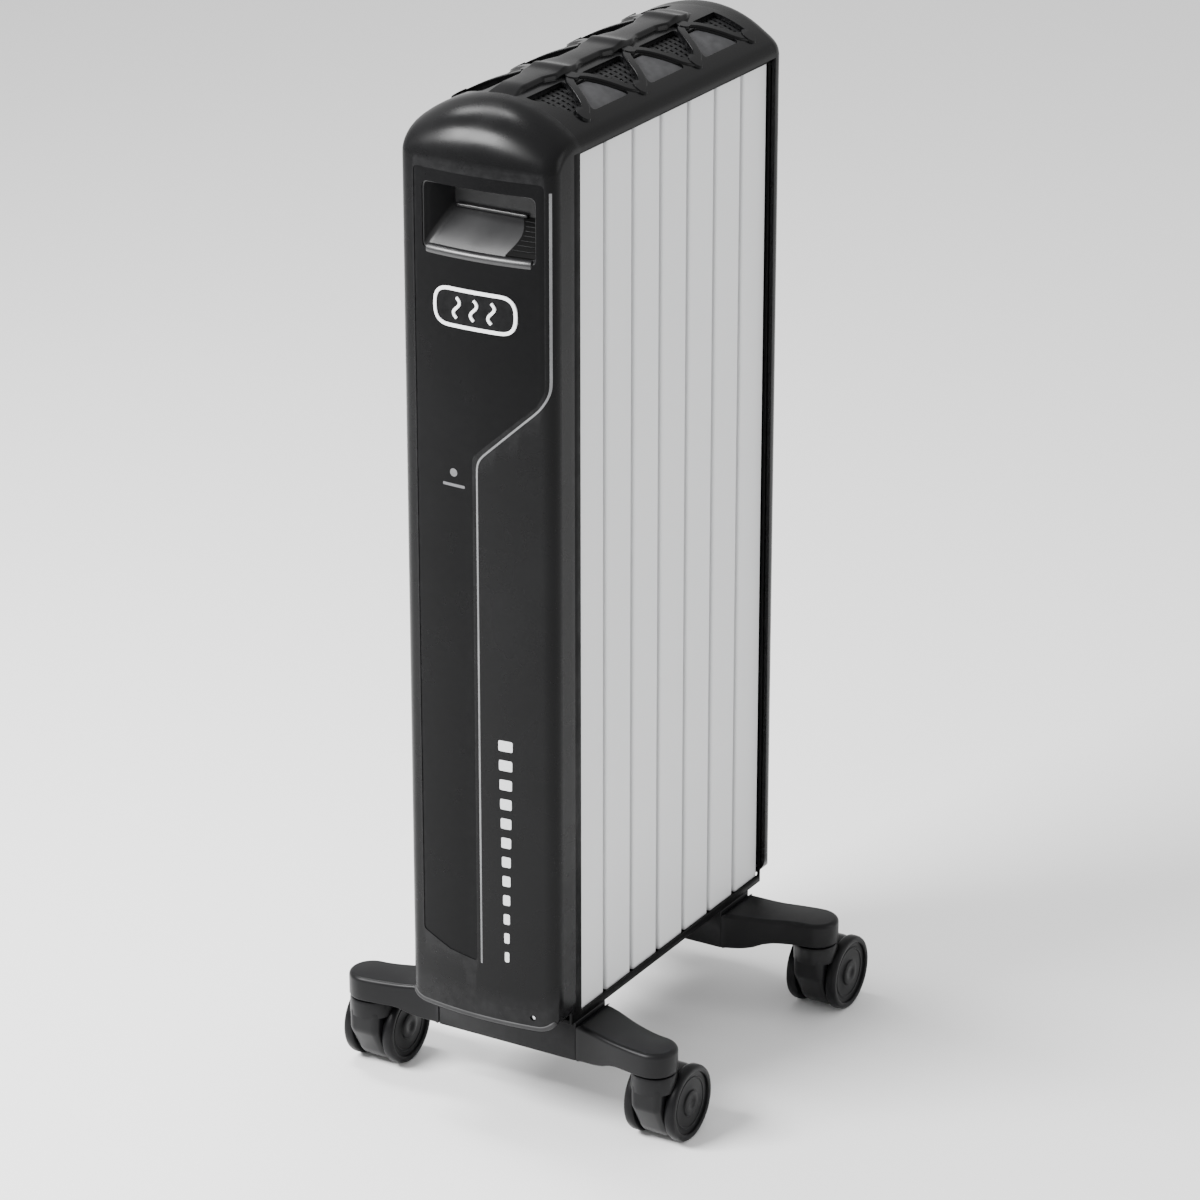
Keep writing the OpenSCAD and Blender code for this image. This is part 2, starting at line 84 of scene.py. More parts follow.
CAP_LOW, CAP_HIGH = mm_box("front_cap")
COVER_LOW, COVER_HIGH = mm_box("top_cover")
HALF_W = CAP_HIGH[1]
FRONT_TIP, REAR_TIP = CAP_LOW[0], mm_box("rear_cap")[1][0]
CROWN, BOTTOM = CAP_HIGH[2], CAP_LOW[2]
EAVE, SPINE_Z = COVER_LOW[2], COVER_HIGH[2]
SEAM_FRONT, SEAM_REAR = COVER_LOW[0], COVER_HIGH[0]
EDGE_R = 10.0        # the caps' upright edges
CORNER_R = 13.0      # the caps' lower corners, seen from the front
BOW_R = 230.0        # the caps' end faces, in plan
ARCH_R = 80.0        # the caps' and cover's tops, across the heater
CAP_BACK = -118.0    # where the front cap's flanks end
REAR_FLANGE = 127.6  # where the rear cap's flanks end
WALL = 2.8
FIN_PITCH, FIN_COUNT = 33.5, 7
FIN_X = [-89.25 + FIN_PITCH * i for i in range(FIN_COUNT)]

SHARP = 32           # edges over this many degrees are shaded sharp
STRIP = 3            # width of the strips that bent slabs are cut into
DOME_STEPS = 14

# ---- materials -------------------------------------------------------------


class Surface:
    """A node material on object coordinates, built up from named steps."""

    def __init__(self, name, color, rough, metallic=0.0, specular=0.5):
        self.mat = bpy.data.materials.new(name)
        self.mat.use_nodes = True
        self.tree = self.mat.node_tree
        self.shader = self.tree.nodes["Principled BSDF"]
        self.set("Base Color", (*color, 1))
        self.set("Roughness", rough)
        self.set("Metallic", metallic)
        self.set("Specular IOR Level", specular)
        self.coords = self.node("ShaderNodeTexCoord").outputs["Object"]
        self.color, self.height = color, None
        self.mat.diffuse_color = (*color, 1)

    def node(self, kind, **values):
        n = self.tree.nodes.new(kind)
        for key, value in values.items():
            if key in n.inputs:
                n.inputs[key].default_value = value
            else:
                setattr(n, key, value)
        return n

    def link(self, out, to):
        self.tree.links.new(out, to)

    def set(self, socket, value):
        self.shader.inputs[socket].default_value = value

    def noise(self, scale, detail=4.0, stretch=(1, 1, 1)):
        mapping = self.node("ShaderNodeMapping")
        mapping.inputs["Scale"].default_value = stretch
        self.link(self.coords, mapping.inputs["Vector"])
        n = self.node("ShaderNodeTexNoise", Scale=scale, Detail=detail)
        self.link(mapping.outputs["Vector"], n.inputs["Vector"])
        return n.outputs["Fac"]

    def spread(self, value, low, high, span=(0.3, 0.7)):
        n = self.node("ShaderNodeMapRange")
        n.inputs["From Min"].default_value, n.inputs["From Max"].default_value = span
        n.inputs["To Min"].default_value, n.inputs["To Max"].default_value = low, high
        self.link(value, n.inputs["Value"])
        return n.outputs["Result"]

    def mix(self, factor, a, b):
        n = self.node("ShaderNodeMix", data_type="RGBA")
        for key, value in ((6, a), (7, b)):
            if isinstance(value, tuple):
                n.inputs[key].default_value = (*value, 1)
            else:
                self.link(value, n.inputs[key])
        self.link(factor, n.inputs[0])
        return n.outputs[2]

    def vary_color(self, factor, other):
        self.color = self.mix(factor, self.color, other)
        self.link(self.color, self.shader.inputs["Base Color"])
        return self

    def vary_rough(self, factor, low, high, span=(0.3, 0.7)):
        self.link(self.spread(factor, low, high, span), self.shader.inputs["Roughness"])
        return self

    def bump(self, height, distance, strength=1.0):
        n = self.node("ShaderNodeBump", Strength=strength, Distance=distance)
        self.link(height, n.inputs["Height"])
        if self.height is not None:
            self.link(self.height, n.inputs["Normal"])
        self.height = n.outputs["Normal"]
        self.link(self.height, self.shader.inputs["Normal"])
        return self

    def worn_edges(self, other, low=0.53, high=0.62, amount=0.6):
        """Edges rubbed towards another colour, broken up by noise."""
        point = self.node("ShaderNodeNewGeometry").outputs["Pointiness"]
        edge = self.spread(point, 0, amount, (low, high))
        patch = self.spread(self.noise(180), 0.2, 1.0)
        n = self.node("ShaderNodeMath", operation="MULTIPLY")
        self.link(edge, n.inputs[0])
        self.link(patch, n.inputs[1])
        return self.vary_color(n.outputs[0], other)


def satin_black(name, color, rough, grain, depth, specular):
    """Moulded black plastic: fine spark grain, faint mottling and handling sheen."""
    s = Surface(name, color, rough, specular=specular)
    s.vary_color(s.spread(s.noise(14, 3), 0, 0.6), tuple(c * 1.7 for c in color))
    s.vary_rough(s.noise(38, 5), rough - 0.05, rough + 0.07)
    s.bump(s.noise(grain, 2), depth)
    s.bump(s.noise(9, 2), 1.2e-5, 0.6)
    return s.worn_edges(tuple(c * 3 + 0.006 for c in color)).mat


# key: name, colour, roughness, grain scale, grain depth in metres, specular level
SATIN_BLACKS = {
    "cap": ("cap_satin", (0.0028, 0.0028, 0.003), 0.26, 2600, 6e-6, 0.12),
    "inset": ("inset_satin", (0.002, 0.002, 0.0022), 0.3, 3400, 4e-6, 0.08),
    "pocket": ("pocket_satin", (0.009, 0.009, 0.0095), 0.34, 2200, 6e-6, 0.32),
    "lip": ("pocket_lip", (0.006, 0.006, 0.0065), 0.34, 3000, 3e-6, 0.6),
    # the rim is cap plastic, coloured lighter than the cap as a painted highlight on its real
    # rounded edge
    "rim": ("cap_rim", (0.012, 0.012, 0.0125), 0.5, 2600, 5e-6, 0.3),
    # painted shadow: near-black colour for the patch at the right end of the pocket floor, where
    # the floor falls into shade
    "dark_slot": ("pocket_shadow", (0.0015, 0.0015, 0.0015), 0.6, 2200, 6e-6, 0.05),
    "cover": ("cover_gloss", (0.0022, 0.0022, 0.0024), 0.2, 4200, 2e-6, 0.12),
    "pane": ("cover_pane", (0.016, 0.016, 0.017), 0.5, 1500, 3e-5, 0.25),
    "foot": ("foot_plastic", (0.0042, 0.0042, 0.0046), 0.36, 1500, 1.2e-5, 0.16),
    "hood": ("hood_plastic", (0.004, 0.004, 0.0044), 0.32, 1800, 8e-6, 0.18),
    "wheel": ("wheel_plastic", (0.003, 0.003, 0.0034), 0.38, 1700, 1e-5, 0.14),
}


def make_materials():
    m = {key: satin_black(*row) for key, row in SATIN_BLACKS.items()}

    s = Surface("white_powder_coat", (0.66, 0.665, 0.67), 0.42, specular=0.3)
    s.vary_color(s.spread(s.noise(7, 3), 0, 0.35), (0.62, 0.628, 0.636))
    s.vary_rough(s.noise(60, 4), 0.36, 0.5)
    s.bump(s.noise(900, 3), 1.4e-5)
    s.bump(s.noise(24, 2, (1, 1, 0.1)), 5e-5, 0.5)
    m["white"] = s.worn_edges((0.5, 0.505, 0.51), 0.55, 0.66, 0.4).mat

    s = Surface("dark_powder_coat", (0.0022, 0.0022, 0.0024), 0.5, specular=0.06)
    s.vary_rough(s.noise(70, 4), 0.38, 0.55)
    s.bump(s.noise(1100, 3), 1.6e-5)
    m["frame"] = s.worn_edges((0.02, 0.02, 0.02)).mat

    s = Surface("mesh_coat", (0.007, 0.007, 0.0075), 0.4, specular=0.15)
    s.vary_color(s.spread(s.noise(90, 3), 0, 0.7), (0.011, 0.011, 0.0115))
    s.vary_rough(s.noise(120, 4), 0.34, 0.5)
    s.bump(s.noise(1500, 2), 1.2e-5)
    m["mesh"] = s.mat

    s = Surface("zinc_steel", (0.55, 0.56, 0.57), 0.3, metallic=1.0)
    s.vary_color(s.spread(s.noise(120, 4), 0, 0.7), (0.42, 0.43, 0.45))
    s.vary_rough(s.noise(260, 3, (1, 1, 0.15)), 0.22, 0.42)
    s.bump(s.noise(1400, 2, (1, 1, 0.1)), 6e-6)
    m["steel"] = s.mat

    # painted highlight: a grey colour standing in for the light that the bevel along the inset's
    # edge catches
    s = Surface("trim_grey", (0.16, 0.162, 0.166), 0.3)
    s.vary_color(s.spread(s.noise(30, 3), 0, 0.8), (0.09, 0.091, 0.094))
    s.vary_rough(s.noise(200, 3), 0.24, 0.38)
    m["trim"] = s.mat

    s = Surface("badge_bright", (0.82, 0.83, 0.84), 0.34)
    s.vary_rough(s.noise(300, 3, (0.1, 1, 1)), 0.26, 0.42)
    s.bump(s.noise(2600, 2, (1, 0.08, 1)), 3e-6)
    m["badge"] = s.mat

    s = Surface("printed_ink", (0.62, 0.63, 0.64), 0.5)
    s.vary_color(s.spread(s.noise(900, 4), 0, 0.6), (0.5, 0.51, 0.52))
    s.vary_rough(s.noise(700, 3), 0.42, 0.6)
    m["ink"] = s.mat

    s = Surface("faint_ink", (0.12, 0.12, 0.125), 0.5)
    s.vary_color(s.spread(s.noise(900, 4), 0, 0.6), (0.08, 0.08, 0.085))
    s.vary_rough(s.noise(700, 3), 0.42, 0.6)
    m["faint_ink"] = s.mat

    s = Surface("window_tint", (0.01, 0.014, 0.016), 0.08)
    s.vary_rough(s.noise(40, 5), 0.05, 0.16)
    s.bump(s.noise(30, 2), 1e-5, 0.4)
    m["window"] = s.mat

    s = Surface("button_grey", (0.2, 0.205, 0.21), 0.42)
    s.vary_rough(s.noise(80, 4), 0.36, 0.52)
    s.bump(s.noise(2200, 2), 8e-6)
    m["button"] = s.worn_edges((0.32, 0.32, 0.33)).mat

    s = Surface("rocker_red", (0.28, 0.012, 0.01), 0.24)
    s.vary_rough(s.noise(70, 4), 0.18, 0.34)
    s.bump(s.noise(2400, 2), 4e-6)
    m["rocker"] = s.worn_edges((0.42, 0.05, 0.04)).mat

    s = Surface("circuit_board", (0.02, 0.1, 0.045), 0.35)
    s.vary_color(s.spread(s.noise(400, 5), 0, 1, (0.48, 0.56)), (0.05, 0.16, 0.07))
    s.vary_rough(s.noise(200, 3), 0.28, 0.45)
    m["board"] = s.mat

    s = Surface("cream_insulator", (0.62, 0.58, 0.47), 0.5)
    s.vary_color(s.spread(s.noise(60, 4), 0, 0.6), (0.54, 0.5, 0.4))
    s.vary_rough(s.noise(90, 3), 0.42, 0.6)
    s.bump(s.noise(1300, 2), 1e-5)
    m["ceramic"] = s.mat

    s = Surface("pale_brass", (0.7, 0.52, 0.24), 0.3, metallic=1.0)
    s.vary_rough(s.noise(160, 4), 0.24, 0.44)
    s.bump(s.noise(1200, 2), 8e-6)
    m["brass"] = s.mat
    return m


MAT = make_materials()

# ---- mesh tools --------------------------------------------------------------


def new_piece(name, verts, faces, mat, body=HEATER, slot=None, sharp=SHARP, stands_for=()):
    """A piece from points in millimetres, smooth except at edges over `sharp` degrees."""
    mesh = bpy.data.meshes.new(name)
    mesh.from_pydata([(x * MM, y * MM, z * MM) for x, y, z in verts], [], faces)
    mesh.validate()
    bm = bmesh.new()
    bm.from_mesh(mesh)
    bmesh.ops.remove_doubles(bm, verts=bm.verts, dist=MERGE)
    bmesh.ops.recalc_face_normals(bm, faces=bm.faces)
    bm.to_mesh(mesh)
    bm.free()
    mesh.shade_smooth()
    mesh.set_sharp_from_angle(angle=math.radians(sharp))
    mesh.materials.append(mat)
    obj = bpy.data.objects.new(name, mesh)
    bpy.context.scene.collection.objects.link(obj)
    if body:
        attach(obj, body)
    if stands_for:
        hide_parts(*stands_for)
    return obj


def scratch(name, verts, faces):
    return new_piece(name, verts, faces, MAT["frame"], body=None)


def settle(obj, sharp=SHARP):
    """Applies the modifiers on a piece."""
    bpy.context.view_layer.update()
    graph = bpy.context.evaluated_depsgraph_get()
    mesh = bpy.data.meshes.new_from_object(obj.evaluated_get(graph))
    obj.modifiers.clear()
    obj.data = mesh
    mesh.shade_smooth()
    mesh.set_sharp_from_angle(angle=math.radians(sharp))
    return obj


def cut(obj, *cutters):
    for cutter in cutters:
        mod = obj.modifiers.new("cut", "BOOLEAN")
        mod.operation, mod.solver, mod.object = "DIFFERENCE", "EXACT", cutter
        settle(obj)
    for cutter in cutters:
        bpy.data.objects.remove(cutter)
    return obj


def soften(obj, width, segments=2, angle=35):
    """Rounds the sharp edges."""
    mod = obj.modifiers.new("soften", "BEVEL")
    mod.width, mod.segments, mod.limit_method = width * MM, segments, "ANGLE"
    mod.angle_limit, mod.harden_normals = math.radians(angle), True
    mod.miter_outer = "MITER_ARC"
    return obj


def add_wall(obj, thickness, sharp=SHARP):
    """Thickens a shell on the side that its normals face away from."""
    mod = obj.modifiers.new("wall", "SOLIDIFY")
    mod.thickness, mod.offset = thickness * MM, -1
    return settle(obj, sharp)


def aim_normals(obj, point, sign):
    """Turns the normals towards a point (sign 1) or away from it (sign -1)."""
    point = Vector(point) * MM
    if sign * sum(f.area * f.normal.dot(point - f.center) for f in obj.data.polygons) < 0:
        obj.data.flip_normals()


def spaced(low, high, steps):
    return [low + (high - low) * k / steps for k in range(steps + 1)]


def quarter(steps):
    """Angles from 0 to 90 degrees."""
    return [math.radians(90 * k / steps) for k in range(steps + 1)]


def circle(u, v, radius, count):
    return [(u + radius * math.cos(a), v + radius * math.sin(a))
            for a in [math.tau * k / count for k in range(count)]]


def grid_faces(rows, cols, start=0, wrap=False):
    faces = []
    for r in range(rows - 1):
        for c in range(cols if wrap else cols - 1):
            d = (c + 1) % cols
            faces.append((start + r * cols + c, start + r * cols + d,
                          start + (r + 1) * cols + d, start + (r + 1) * cols + c))
    return faces


def slab(name, outline, place, low, high, axis=0, step=STRIP, make=new_piece, **extra):
    """A flat outline cut into strips every `step` along one axis and bent by place().

    place(u, v, depth) gives a point; the two faces lie at depth low and high."""
    bm = bmesh.new()
    bm.faces.new([bm.verts.new((u, v, 0)) for u, v in outline])
    values = [p[axis] for p in outline]
    at = math.floor(min(values) / step) * step + step
    while at < max(values) - 1e-6:
        point = (at, 0, 0) if axis == 0 else (0, at, 0)
        normal = (1, 0, 0) if axis == 0 else (0, 1, 0)
        bmesh.ops.bisect_plane(bm, geom=bm.verts[:] + bm.edges[:] + bm.faces[:],
                               plane_co=point, plane_no=normal, dist=1e-5)
        at += step
    bm.verts.index_update()
    flat = [v.co.copy() for v in bm.verts]
    count = len(flat)
    verts = [place(p.x, p.y, low) for p in flat] + [place(p.x, p.y, high) for p in flat]
    faces = [tuple(v.index for v in f.verts) for f in bm.faces]
    faces += [tuple(i + count for i in reversed(f)) for f in faces]
    for e in bm.edges:
        if len(e.link_faces) == 1:
            a, b = (v.index for v in e.verts)
            faces.append((a, b, b + count, a + count))
    bm.free()
    return make(name, verts, faces, **extra)


def prism(name, outline, place, near, far):
    """A straight cutter: an outline carried from depth near to depth far."""
    count = len(outline)
    verts = [place(u, v, depth) for depth in (near, far) for u, v in outline]
    faces = [tuple(range(count)), tuple(reversed(range(count, 2 * count)))]
    faces += [(i, (i + 1) % count, (i + 1) % count + count, i + count) for i in range(count)]
    return scratch(name, verts, faces)


def along_x(y, z, x):
    return (x, y, z)


def flowing(knots, spacing, rounds):
    """A path through the knots with its bends relaxed; the ends stay."""
    knots = [Vector(p) for p in knots]
    path = []
    for a, b in zip(knots, knots[1:]):
        steps = max(2, int((b - a).length / spacing))
        path += [a + (b - a) * (k / steps) for k in range(steps)]
    path.append(knots[-1])
    for _ in range(rounds):
        inner = [(a + b * 2 + c) / 4 for a, b, c in zip(path, path[1:], path[2:])]
        path = [path[0]] + inner + [path[-1]]
    return [(p.x, p.y) for p in path]


def rounded(outline, radius, steps=5):
    """Rounds the corners of a closed outline; radius is one value or one per corner."""
    out = []
    count = len(outline)
    for i in range(count):
        r = radius[i] if isinstance(radius, (list, tuple)) else radius
        p, a, b = (Vector(outline[k % count]) for k in (i, i - 1, i + 1))
        da, db = (a - p).normalized(), (b - p).normalized()
        half = math.acos(max(-1, min(1, da.dot(db)))) / 2
        if r < 1e-6 or abs(half - math.pi / 2) < 0.02:
            out.append(tuple(p))
            continue
        reach = min(r / math.tan(half), (a - p).length * 0.49, (b - p).length * 0.49)
        start, end = p + da * reach, p + db * reach
        for k in range(steps + 1):
            t = k / steps
            q = start * (1 - t) ** 2 + p * 2 * t * (1 - t) + end * t ** 2
            out.append((q.x, q.y))
    return out


def box_outline(low, high):
    return [(low[0], low[1]), (high[0], low[1]), (high[0], high[1]), (low[0], high[1])]


def shrink(outline, amount):
    """Moves a closed anticlockwise outline inwards along its own normals."""
    out = []
    count = len(outline)
    for i, p in enumerate(outline):
        a, b = Vector(outline[i - 1]), Vector(outline[(i + 1) % count])
        along = (b - a).normalized()
        out.append((p[0] - along.y * amount, p[1] + along.x * amount))
    return out


def turned(name, profile, place, segments, mat, **extra):
    """A surface of revolution; profile is (radius, height) and place maps to the frame."""
    verts = [place(a, b, h) for r, h in profile for a, b in circle(0, 0, r, segments)]
    faces = grid_faces(len(profile), segments, wrap=True)
    return new_piece(name, verts, faces, mat, **extra)


# ---- end cap surfaces --------------------------------------------------------


def bow_height(u, crown, big):
    """Height of a bow of radius `big` at u, with the caps' corner radius."""
    u = min(abs(u), HALF_W)
    base = crown - big
    lift = math.sqrt((big - EDGE_R) ** 2 - (HALF_W - EDGE_R) ** 2)
    meet = HALF_W - EDGE_R + EDGE_R * (HALF_W - EDGE_R) / (big - EDGE_R)
    if u <= meet:
        return base + math.sqrt(big * big - u * u)
    return base + lift + math.sqrt(max(0.0, EDGE_R ** 2 - (u - HALF_W + EDGE_R) ** 2))


def face_depth(y):
    """How far the bowed end face lies behind its tip at y."""
    return -bow_height(y, 0, BOW_R)


def arch_z(y):
    return bow_height(y, CROWN, ARCH_R)


def across():
    """Stations from left to right over a cap, close together at the corners."""
    corner = [HALF_W - EDGE_R + EDGE_R * math.sin(a) for a in quarter(12)]
    middle = [2.0 * k for k in range(-21, 22)]
    return [-y for y in reversed(corner)][:-1] + [-44] + middle + [44] + corner[1:]


def front_point(y, z, depth):
    return (FRONT_TIP + face_depth(y) + depth, y, z)


def cover_point(x, y, depth):
    return (x, y, arch_z(y) - depth)


def foot_z(y):
    """Height of a cap's lower edge, which is rounded at both corners."""
    over = max(0.0, abs(y) - (HALF_W - CORNER_R))
    return BOTTOM + CORNER_R - math.sqrt(CORNER_R ** 2 - over ** 2)


def cap_shell(name, tip, seam, back, rise, run, mat, slot, node):
    """One end cap: bowed face, domed top, flanks and rounded floor.

    rise(y) is the height of the dome's curve at y and run(y) its depth."""
    s = 1 if tip < back else -1
    ys = across()
    turns = [k * 90 / DOME_STEPS for k in range(DOME_STEPS + 1)]
    share = 1 - (abs(back - tip) - face_depth(HALF_W)) / run(HALF_W)
    if 0 < share < 1:
        turn = math.degrees(math.acos(share))
        turns[min(range(len(turns)), key=lambda k: abs(turns[k] - turn))] = turn

    def dome(y, turn):
        a = math.radians(turn)
        x = tip + s * (face_depth(y) + run(y) * (1 - math.cos(a)))
        return x, arch_z(y) - rise(y) * (1 - math.sin(a))

    verts, faces = [], []

    def add_grid(rows):
        start = len(verts)
        for row in rows:
            verts.extend(row)
        faces.extend(grid_faces(len(rows), len(rows[0]), start))

    add_grid([[(dome(y, t)[0], y, dome(y, t)[1]) for y in ys] for t in turns])
    flat = any(abs(dome(y, 90)[0] - seam) > 0.01 for y in ys)
    if flat:
        add_grid([[(dome(y, 90)[0], y, arch_z(y)) for y in ys],
                  [(back, y, arch_z(y)) for y in ys], [(seam, y, arch_z(y)) for y in ys]])
    add_grid([[(dome(y, 0)[0], y, dome(y, 0)[1] + (foot_z(y) - dome(y, 0)[1]) * f) for y in ys]
              for f in spaced(0, 1, 40)])
    add_grid([[(tip + s * face_depth(y), y, foot_z(y)) for y in ys],
              [(back, y, foot_z(y)) for y in ys]])
    for side in (-1, 1):
        y = side * HALF_W
        top = [dome(y, t) for t in turns]
        if flat:
            top += [(back, top[-1][1]), (seam, top[-1][1])]
        edge = min(top, key=lambda p: abs(p[0] - back))
        below = [p for p in top if s * (back - p[0]) > 1e-3] + [edge]
        above = [edge] + [p for p in top if s * (p[0] - back) > 1e-3]
        add_grid([[(x, y, z + (foot_z(y) - z) * f) for x, z in below] for f in spaced(0, 1, 12)])
        add_grid([[(x, y, z) for x, z in above], [(x, y, EAVE) for x, z in above]])
    obj = new_piece(name, verts, faces, mat, slot=slot, stands_for=[node], sharp=50)
    aim_normals(obj, (back, 0, (BOTTOM + EAVE) / 2), -1)
    return add_wall(obj, WALL)


# outline of the inset panel, as y and z, and the radius of each corner
INSET = [(43, 128), (43, 629), (-49, 629), (-49, 500), (-44, 490.5), (-1, 452), (-1, 116),
         (21, 119.3)]
INSET_R = [5, 5, 5, 9, 6, 7, 4, 0]
GROOVE_W, GROOVE_DEEP = 1.3, 1.7
PANEL_TOP, PANEL_BACK = 0.45, 1.65
# path and width of the grey strip that paints the highlight along the inset's edge
EDGE_HIGHLIGHT_PATH = [(-50.9, 623), (-50.9, 499), (-45.5, 489.5), (-3, 450.6), (-3, 117)]
EDGE_HIGHLIGHT_W = 1.3
RIM_R, RIM_END = 2.0, 51.5
SCREW_Y, SCREW_Z, SCREW_HOLE_R = -38, 86, 1.8

POCKET_LOW, POCKET_HIGH = (-42, 578), (35, 619)
POCKET_BACK = -120.7
POCKET_SHELF = 600.0
POCKET_R, POCKET_GAP = 4, 0.4


def make_front():
    depth_to_seam = SEAM_FRONT - FRONT_TIP
    dome_base = CROWN - 36
    cap = cap_shell("cap_front", FRONT_TIP, SEAM_FRONT, CAP_BACK,
                    lambda y: arch_z(y) - dome_base, lambda y: depth_to_seam - face_depth(y),
                    MAT["cap"], "cap_plastic", "front_cap")
    outline = rounded(list(reversed(INSET)), list(reversed(INSET_R)))
    rim = [front_point(y, foot_z(y) + RIM_R, 1.2) for y in spaced(-RIM_END, RIM_END, 48)]
    # rounded rim along the cap's lower edge, coloured lighter than the cap as a painted highlight
    tube("cap_rim", rim, RIM_R, MAT["rim"], slot="cap_plastic")
    mouth = shrink(rounded(box_outline(POCKET_LOW, POCKET_HIGH), POCKET_R), -POCKET_GAP)
    cut(cap, slab("groove", shrink(outline, -GROOVE_W), front_point, -6, GROOVE_DEEP,
                  make=scratch),
        slab("screw_hole", circle(SCREW_Y, SCREW_Z, SCREW_HOLE_R, 32), front_point, -3, 6,
             make=scratch),
        prism("mouth", mouth, along_x, -200, -100))
    soften(cap, 1.0, 3)

    # grey strip laid along the inset's edge: a painted highlight of the groove's bevel
    ribbon("inset_trim", flowing(EDGE_HIGHLIGHT_PATH, 2.5, 5), EDGE_HIGHLIGHT_W, front_point, 0.5, -0.2,
           MAT["trim"], slot="cap_plastic")

    inset = slab("inset_panel", outline, front_point, PANEL_TOP, PANEL_BACK,
                 mat=MAT["inset"], slot="inset_black", stands_for=["front_inset"])
    cut(inset, prism("mouth_2", mouth, along_x, -200, -100))
    soften(inset, 0.5)


def make_pocket():
    """A tub whose floor climbs from the front lip to a shelf, with lip, bead, grip ribs and a
    painted shadow.
    """
    steps, entry = 10, 0.06
    roll, draft_left, draft_right = 0.9, 8.0, 2.0

    def floor_z(t):
        return POCKET_LOW[1] + 0.6 + (POCKET_SHELF - POCKET_LOW[1] - 1.2) * t ** 0.85

    def ring(share, inward, low_z):
        outline = rounded(box_outline(
            (POCKET_LOW[0] + inward + draft_right * share, low_z),
            (POCKET_HIGH[0] - inward - draft_left * share, POCKET_HIGH[1] - inward)), POCKET_R)
        out = []
        for y, z in outline:
            x = FRONT_TIP + face_depth(y) + 1.2
            out.append((x + (POCKET_BACK - x) * share, y, z))
        return out

    rings = []
    for a in quarter(4):
        inward = -POCKET_GAP + roll * math.sin(a)
        rings.append([(x + roll * (1 - math.cos(a)), y, z) for x, y, z in
                      ring(0, inward, POCKET_LOW[1] + inward)])
    for t in spaced(0, 1, steps)[1:]:
        rings.append(ring(entry + (1 - entry) * t, roll - POCKET_GAP, floor_z(t)))
    verts = [p for r in rings for p in r]
    count = len(rings[0])
    faces = grid_faces(len(rings), count, wrap=True)
    faces.append(tuple(range((len(rings) - 1) * count, len(rings) * count)))
    smooth_to = 38
    tub = new_piece("pocket_tub", verts, faces, MAT["pocket"], slot="cap_plastic",
                    stands_for=["handle_pocket"], sharp=smooth_to)
    aim_normals(tub, (POCKET_BACK - 12, -4, 604), 1)
    add_wall(tub, 1.2, smooth_to)

    # glossy roll along the lower lip and a bead where the floor meets the back
    lip = [(FRONT_TIP + face_depth(y) + 2.7, y, POCKET_LOW[1] - POCKET_GAP)
           for y in spaced(POCKET_LOW[0] + 2, POCKET_HIGH[0] - 2, 24)]
    tube("pocket_lip", lip, 3.2, MAT["lip"], slot="cap_plastic")
    bead = [(POCKET_BACK - 1.6, y, POCKET_SHELF + 0.3)
            for y in spaced(POCKET_LOW[0] + 17, POCKET_HIGH[0] - 10, 20)]
    tube("pocket_bead", bead, 1.3, MAT["lip"], slot="cap_plastic")

    # painted shadow at the right end of the floor: a near-black patch, crossed by low ribs
    right, left, bulge = POCKET_LOW[0] + 1.5, POCKET_LOW[0] + 21, 5
    spans, sunk, proud = 8, -0.8, 0.5

    def floor_point(t, y, lift):
        x = FRONT_TIP + face_depth(y) + 0.45
        return (x + (POCKET_BACK - x) * (entry + (1 - entry) * t), y, floor_z(t) + lift)

    stations = spaced(0.08, 0.98, spans)
    reach = [left - bulge * math.sin(math.pi * k / spans) for k in range(spans + 1)]
    verts = []
    for t, y in zip(stations, reach):
        verts += [floor_point(t, right, sunk), floor_point(t, right, proud),
                  floor_point(t, y, proud), floor_point(t, y, sunk)]
    faces = grid_faces(spans + 1, 4, wrap=True)
    faces += [tuple(range(4)), tuple(range(4 * spans, 4 * spans + 4))]
    grip_shadow_patch = new_piece("pocket_grip", verts, faces, MAT["dark_slot"], slot="cap_plastic")
    soften(grip_shadow_patch, 0.3)
    for k in range(1, spans):
        path = [floor_point(stations[k], y, proud) for y in spaced(right, reach[k] - 1, 6)]
        tube(f"pocket_grip_rib_{k}", path, 0.45, MAT["inset"], slot="cap_plastic")


def tube(name, path, radius, mat, sides=12, **extra):
    """A bar swept along a path, rounded off at both ends."""
    rows = []
    caps = [(0.0, 0.02), (0.15, 0.7), (0.35, 0.95)]  # share of the end bay and of the radius
    points = [Vector(p) for p in path]
    stations = []
    for at, scale in caps:
        stations.append((points[0] + (points[1] - points[0]) * at, scale))
    stations += [(p, 1.0) for p in points[1:-1]]
    for at, scale in reversed(caps):
        stations.append((points[-1] + (points[-2] - points[-1]) * at, scale))
    for i, (p, scale) in enumerate(stations):
        along = (stations[min(i + 1, len(stations) - 1)][0] - stations[max(i - 1, 0)][0])
        along.normalize()
        up = Vector((0, 0, 1)) if abs(along.z) < 0.9 else Vector((1, 0, 0))
        a = along.cross(up).normalized()
        b = a.cross(along)
        rows.append([tuple(p + (a * math.cos(math.tau * k / sides)
                                + b * math.sin(math.tau * k / sides)) * radius * scale)
                     for k in range(sides)])
    verts = [p for r in rows for p in r]
    faces = grid_faces(len(rows), sides, wrap=True)
    faces += [tuple(range(sides)), tuple(range(len(verts) - sides, len(verts)))]
    return new_piece(name, verts, faces, mat, **extra)


